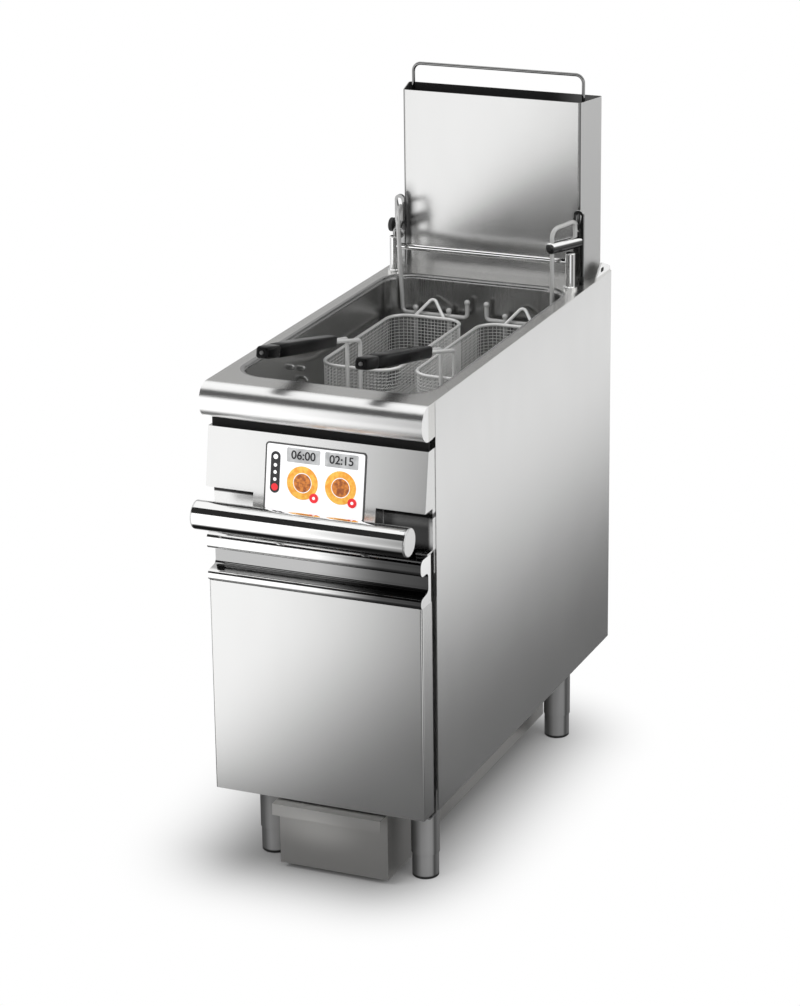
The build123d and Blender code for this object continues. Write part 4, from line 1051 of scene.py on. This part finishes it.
class FRYER_OT_baskets(bpy.types.Operator):
    """Weaves the wire mesh of both baskets"""

    bl_idname = "fryer.baskets"
    bl_label = "Wire baskets"

    def execute(self, context):
        settings = context.scene.fryer_basket
        material = NODES["basket_frame_left"].data.materials[0]
        for side in SIDES:
            node = "basket_shell_" + side
            mesh = wire_basket("basket_mesh_" + side, *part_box(node), settings)
            dress(mesh, material, "basket_" + side, 50.0)
            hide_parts(node)
        return {"FINISHED"}


class FRYER_OT_grips(bpy.types.Operator):
    """Moulds both grips with their end pins"""

    bl_idname = "fryer.grips"
    bl_label = "Grips"

    def execute(self, context):
        settings = context.scene.fryer_grip
        black = NODES["basket_grip_left"].data.materials[0]
        dull = bright_wire("pin_steel", grey(0.10))
        for side in SIDES:
            node = "basket_grip_" + side
            place = grip_place(node, settings)
            body = grip("grip_" + side, place, settings)
            dress(body, black, "basket_" + side)
            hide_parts(node)
            pin = grip_pin("grip_pin_" + side, place, settings)
            dress(pin, dull, "basket_" + side)
        return {"FINISHED"}


class FRYER_OT_display(bpy.types.Operator):
    """Lays out the lit fields of the display"""

    bl_idname = "fryer.display"
    bl_label = "Display"

    def execute(self, context):
        settings = context.scene.fryer_display
        turn, middle = display_place()
        layer = 0.15 * MM
        thick = 0.3 * MM

        greys = screen_colour("screen_grey", (0.38, 0.385, 0.39), (0.52, 0.525, 0.53), 60.0, 0.1)
        darks = screen_colour("screen_dark", (0.010, 0.010, 0.012), (0.02, 0.02, 0.022), 60.0, 0.0)
        reds = screen_colour("screen_red", settings.red, shaded(settings.red, 0.85), 60.0)
        warms = screen_colour("screen_warm", settings.warm, (0.90, 0.52, 0.08), 130.0, 0.1)
        browns = screen_colour("screen_brown", (0.28, 0.07, 0.015), (0.66, 0.22, 0.03), 160.0, 0.1)
        lights = screen_colour("screen_light", settings.panel, (0.98, 0.98, 0.98), 60.0)

        groups = {
            "screen_boxes": (greys, []),
            "screen_bar": (darks, []),
            "screen_buttons": (reds, []),
            "screen_dials": (warms, []),
            "screen_dial_cores": (browns, []),
            "screen_lights": (lights, []),
            "screen_figures": (darks, []),
        }

        def put(group, piece, x, y, level=0):
            on_screen(piece, middle, turn, x * MM, y * MM, layer + level * thick)
            groups[group][1].append(piece)

        for x, words in zip(SCREEN_COLUMNS, (settings.first_time, settings.second_time)):
            put("screen_boxes", screen_box("box", 60 * MM, 24 * MM, 2 * MM, thick), x, 40)
            put("screen_figures", screen_number("figures", words, 20 * MM, thick), x, 40, 2)
            put("screen_dials", screen_disc("dial", 28 * MM, thick, 17 * MM), x, -5)
            put("screen_dial_cores", screen_disc("core", 15.5 * MM, thick), x, -5)
            put("screen_buttons", screen_disc("button", 8.0 * MM, thick), x + 22, -28, 2)
            put("screen_lights", screen_disc("spot", 2.6 * MM, thick), x + 22, -28, 3)
        put("screen_bar", screen_box("bar", 17 * MM, 70 * MM, 8 * MM, thick), SCREEN_BAR_X, 8)
        for y, radius in SCREEN_MARKS:
            put("screen_lights", screen_disc("mark", radius * MM, thick), SCREEN_BAR_X, y, 1)
        put("screen_buttons", screen_disc("stop", 6.0 * MM, thick), SCREEN_BAR_X, -17, 1)
        for name, (material, pieces) in groups.items():
            dress(join(name, pieces), material, "casing")
        return {"FINISHED"}


class FRYER_OT_stage(bpy.types.Operator):
    """Sets up the floor, the reflecting cards, the lamps and the camera"""

    bl_idname = "fryer.stage"
    bl_label = "Studio"

    def execute(self, context):
        settings = context.scene.fryer_stage
        context.scene.view_settings.view_transform = "Standard"
        make_sky(context.scene, settings.sky)
        make_floor()
        make_cards()
        make_lamp("key_lamp", place=(-2.6, -3.2, 3.8), size=3.0, power=settings.key)
        make_lamp("fill_lamp", place=(3.4, -1.4, 3.2), size=2.6, power=settings.fill)
        make_camera(context.scene, settings)
        return {"FINISHED"}


# Panel and registration


class FRYER_PT_sidebar(bpy.types.Panel):
    """Lists the steps and their settings"""

    bl_idname = "FRYER_PT_sidebar"
    bl_label = "Gas deep fryer"
    bl_space_type = "VIEW_3D"
    bl_region_type = "UI"
    bl_category = "Fryer"

    def draw(self, context):
        for operator in OPERATORS:
            self.layout.operator(operator.bl_idname)
        for name, group in SETTINGS.items():
            box = self.layout.box()
            for prop in group.__annotations__:
                box.prop(getattr(context.scene, name), prop)


SETTINGS = {
    "fryer_steel": FRYER_PG_steel,
    "fryer_basket": FRYER_PG_basket,
    "fryer_grip": FRYER_PG_grip,
    "fryer_display": FRYER_PG_display,
    "fryer_stage": FRYER_PG_stage,
}
OPERATORS = (
    FRYER_OT_finishes,
    FRYER_OT_baskets,
    FRYER_OT_grips,
    FRYER_OT_display,
    FRYER_OT_stage,
)


def register():
    """Registers the classes and hangs their settings on the scene."""
    for item in (*SETTINGS.values(), *OPERATORS, FRYER_PT_sidebar):
        bpy.utils.register_class(item)
    for name, group in SETTINGS.items():
        setattr(bpy.types.Scene, name, PointerProperty(type=group))


def unregister():
    """Takes the settings and the classes out again."""
    for name in SETTINGS:
        delattr(bpy.types.Scene, name)
    for item in reversed((*SETTINGS.values(), *OPERATORS, FRYER_PT_sidebar)):
        bpy.utils.unregister_class(item)


def main():
    """Runs every step in order."""
    register()
    bpy.ops.fryer.finishes()
    bpy.ops.fryer.baskets()
    bpy.ops.fryer.grips()
    bpy.ops.fryer.display()
    bpy.ops.fryer.stage()


if __name__ == "__main__":
    main()
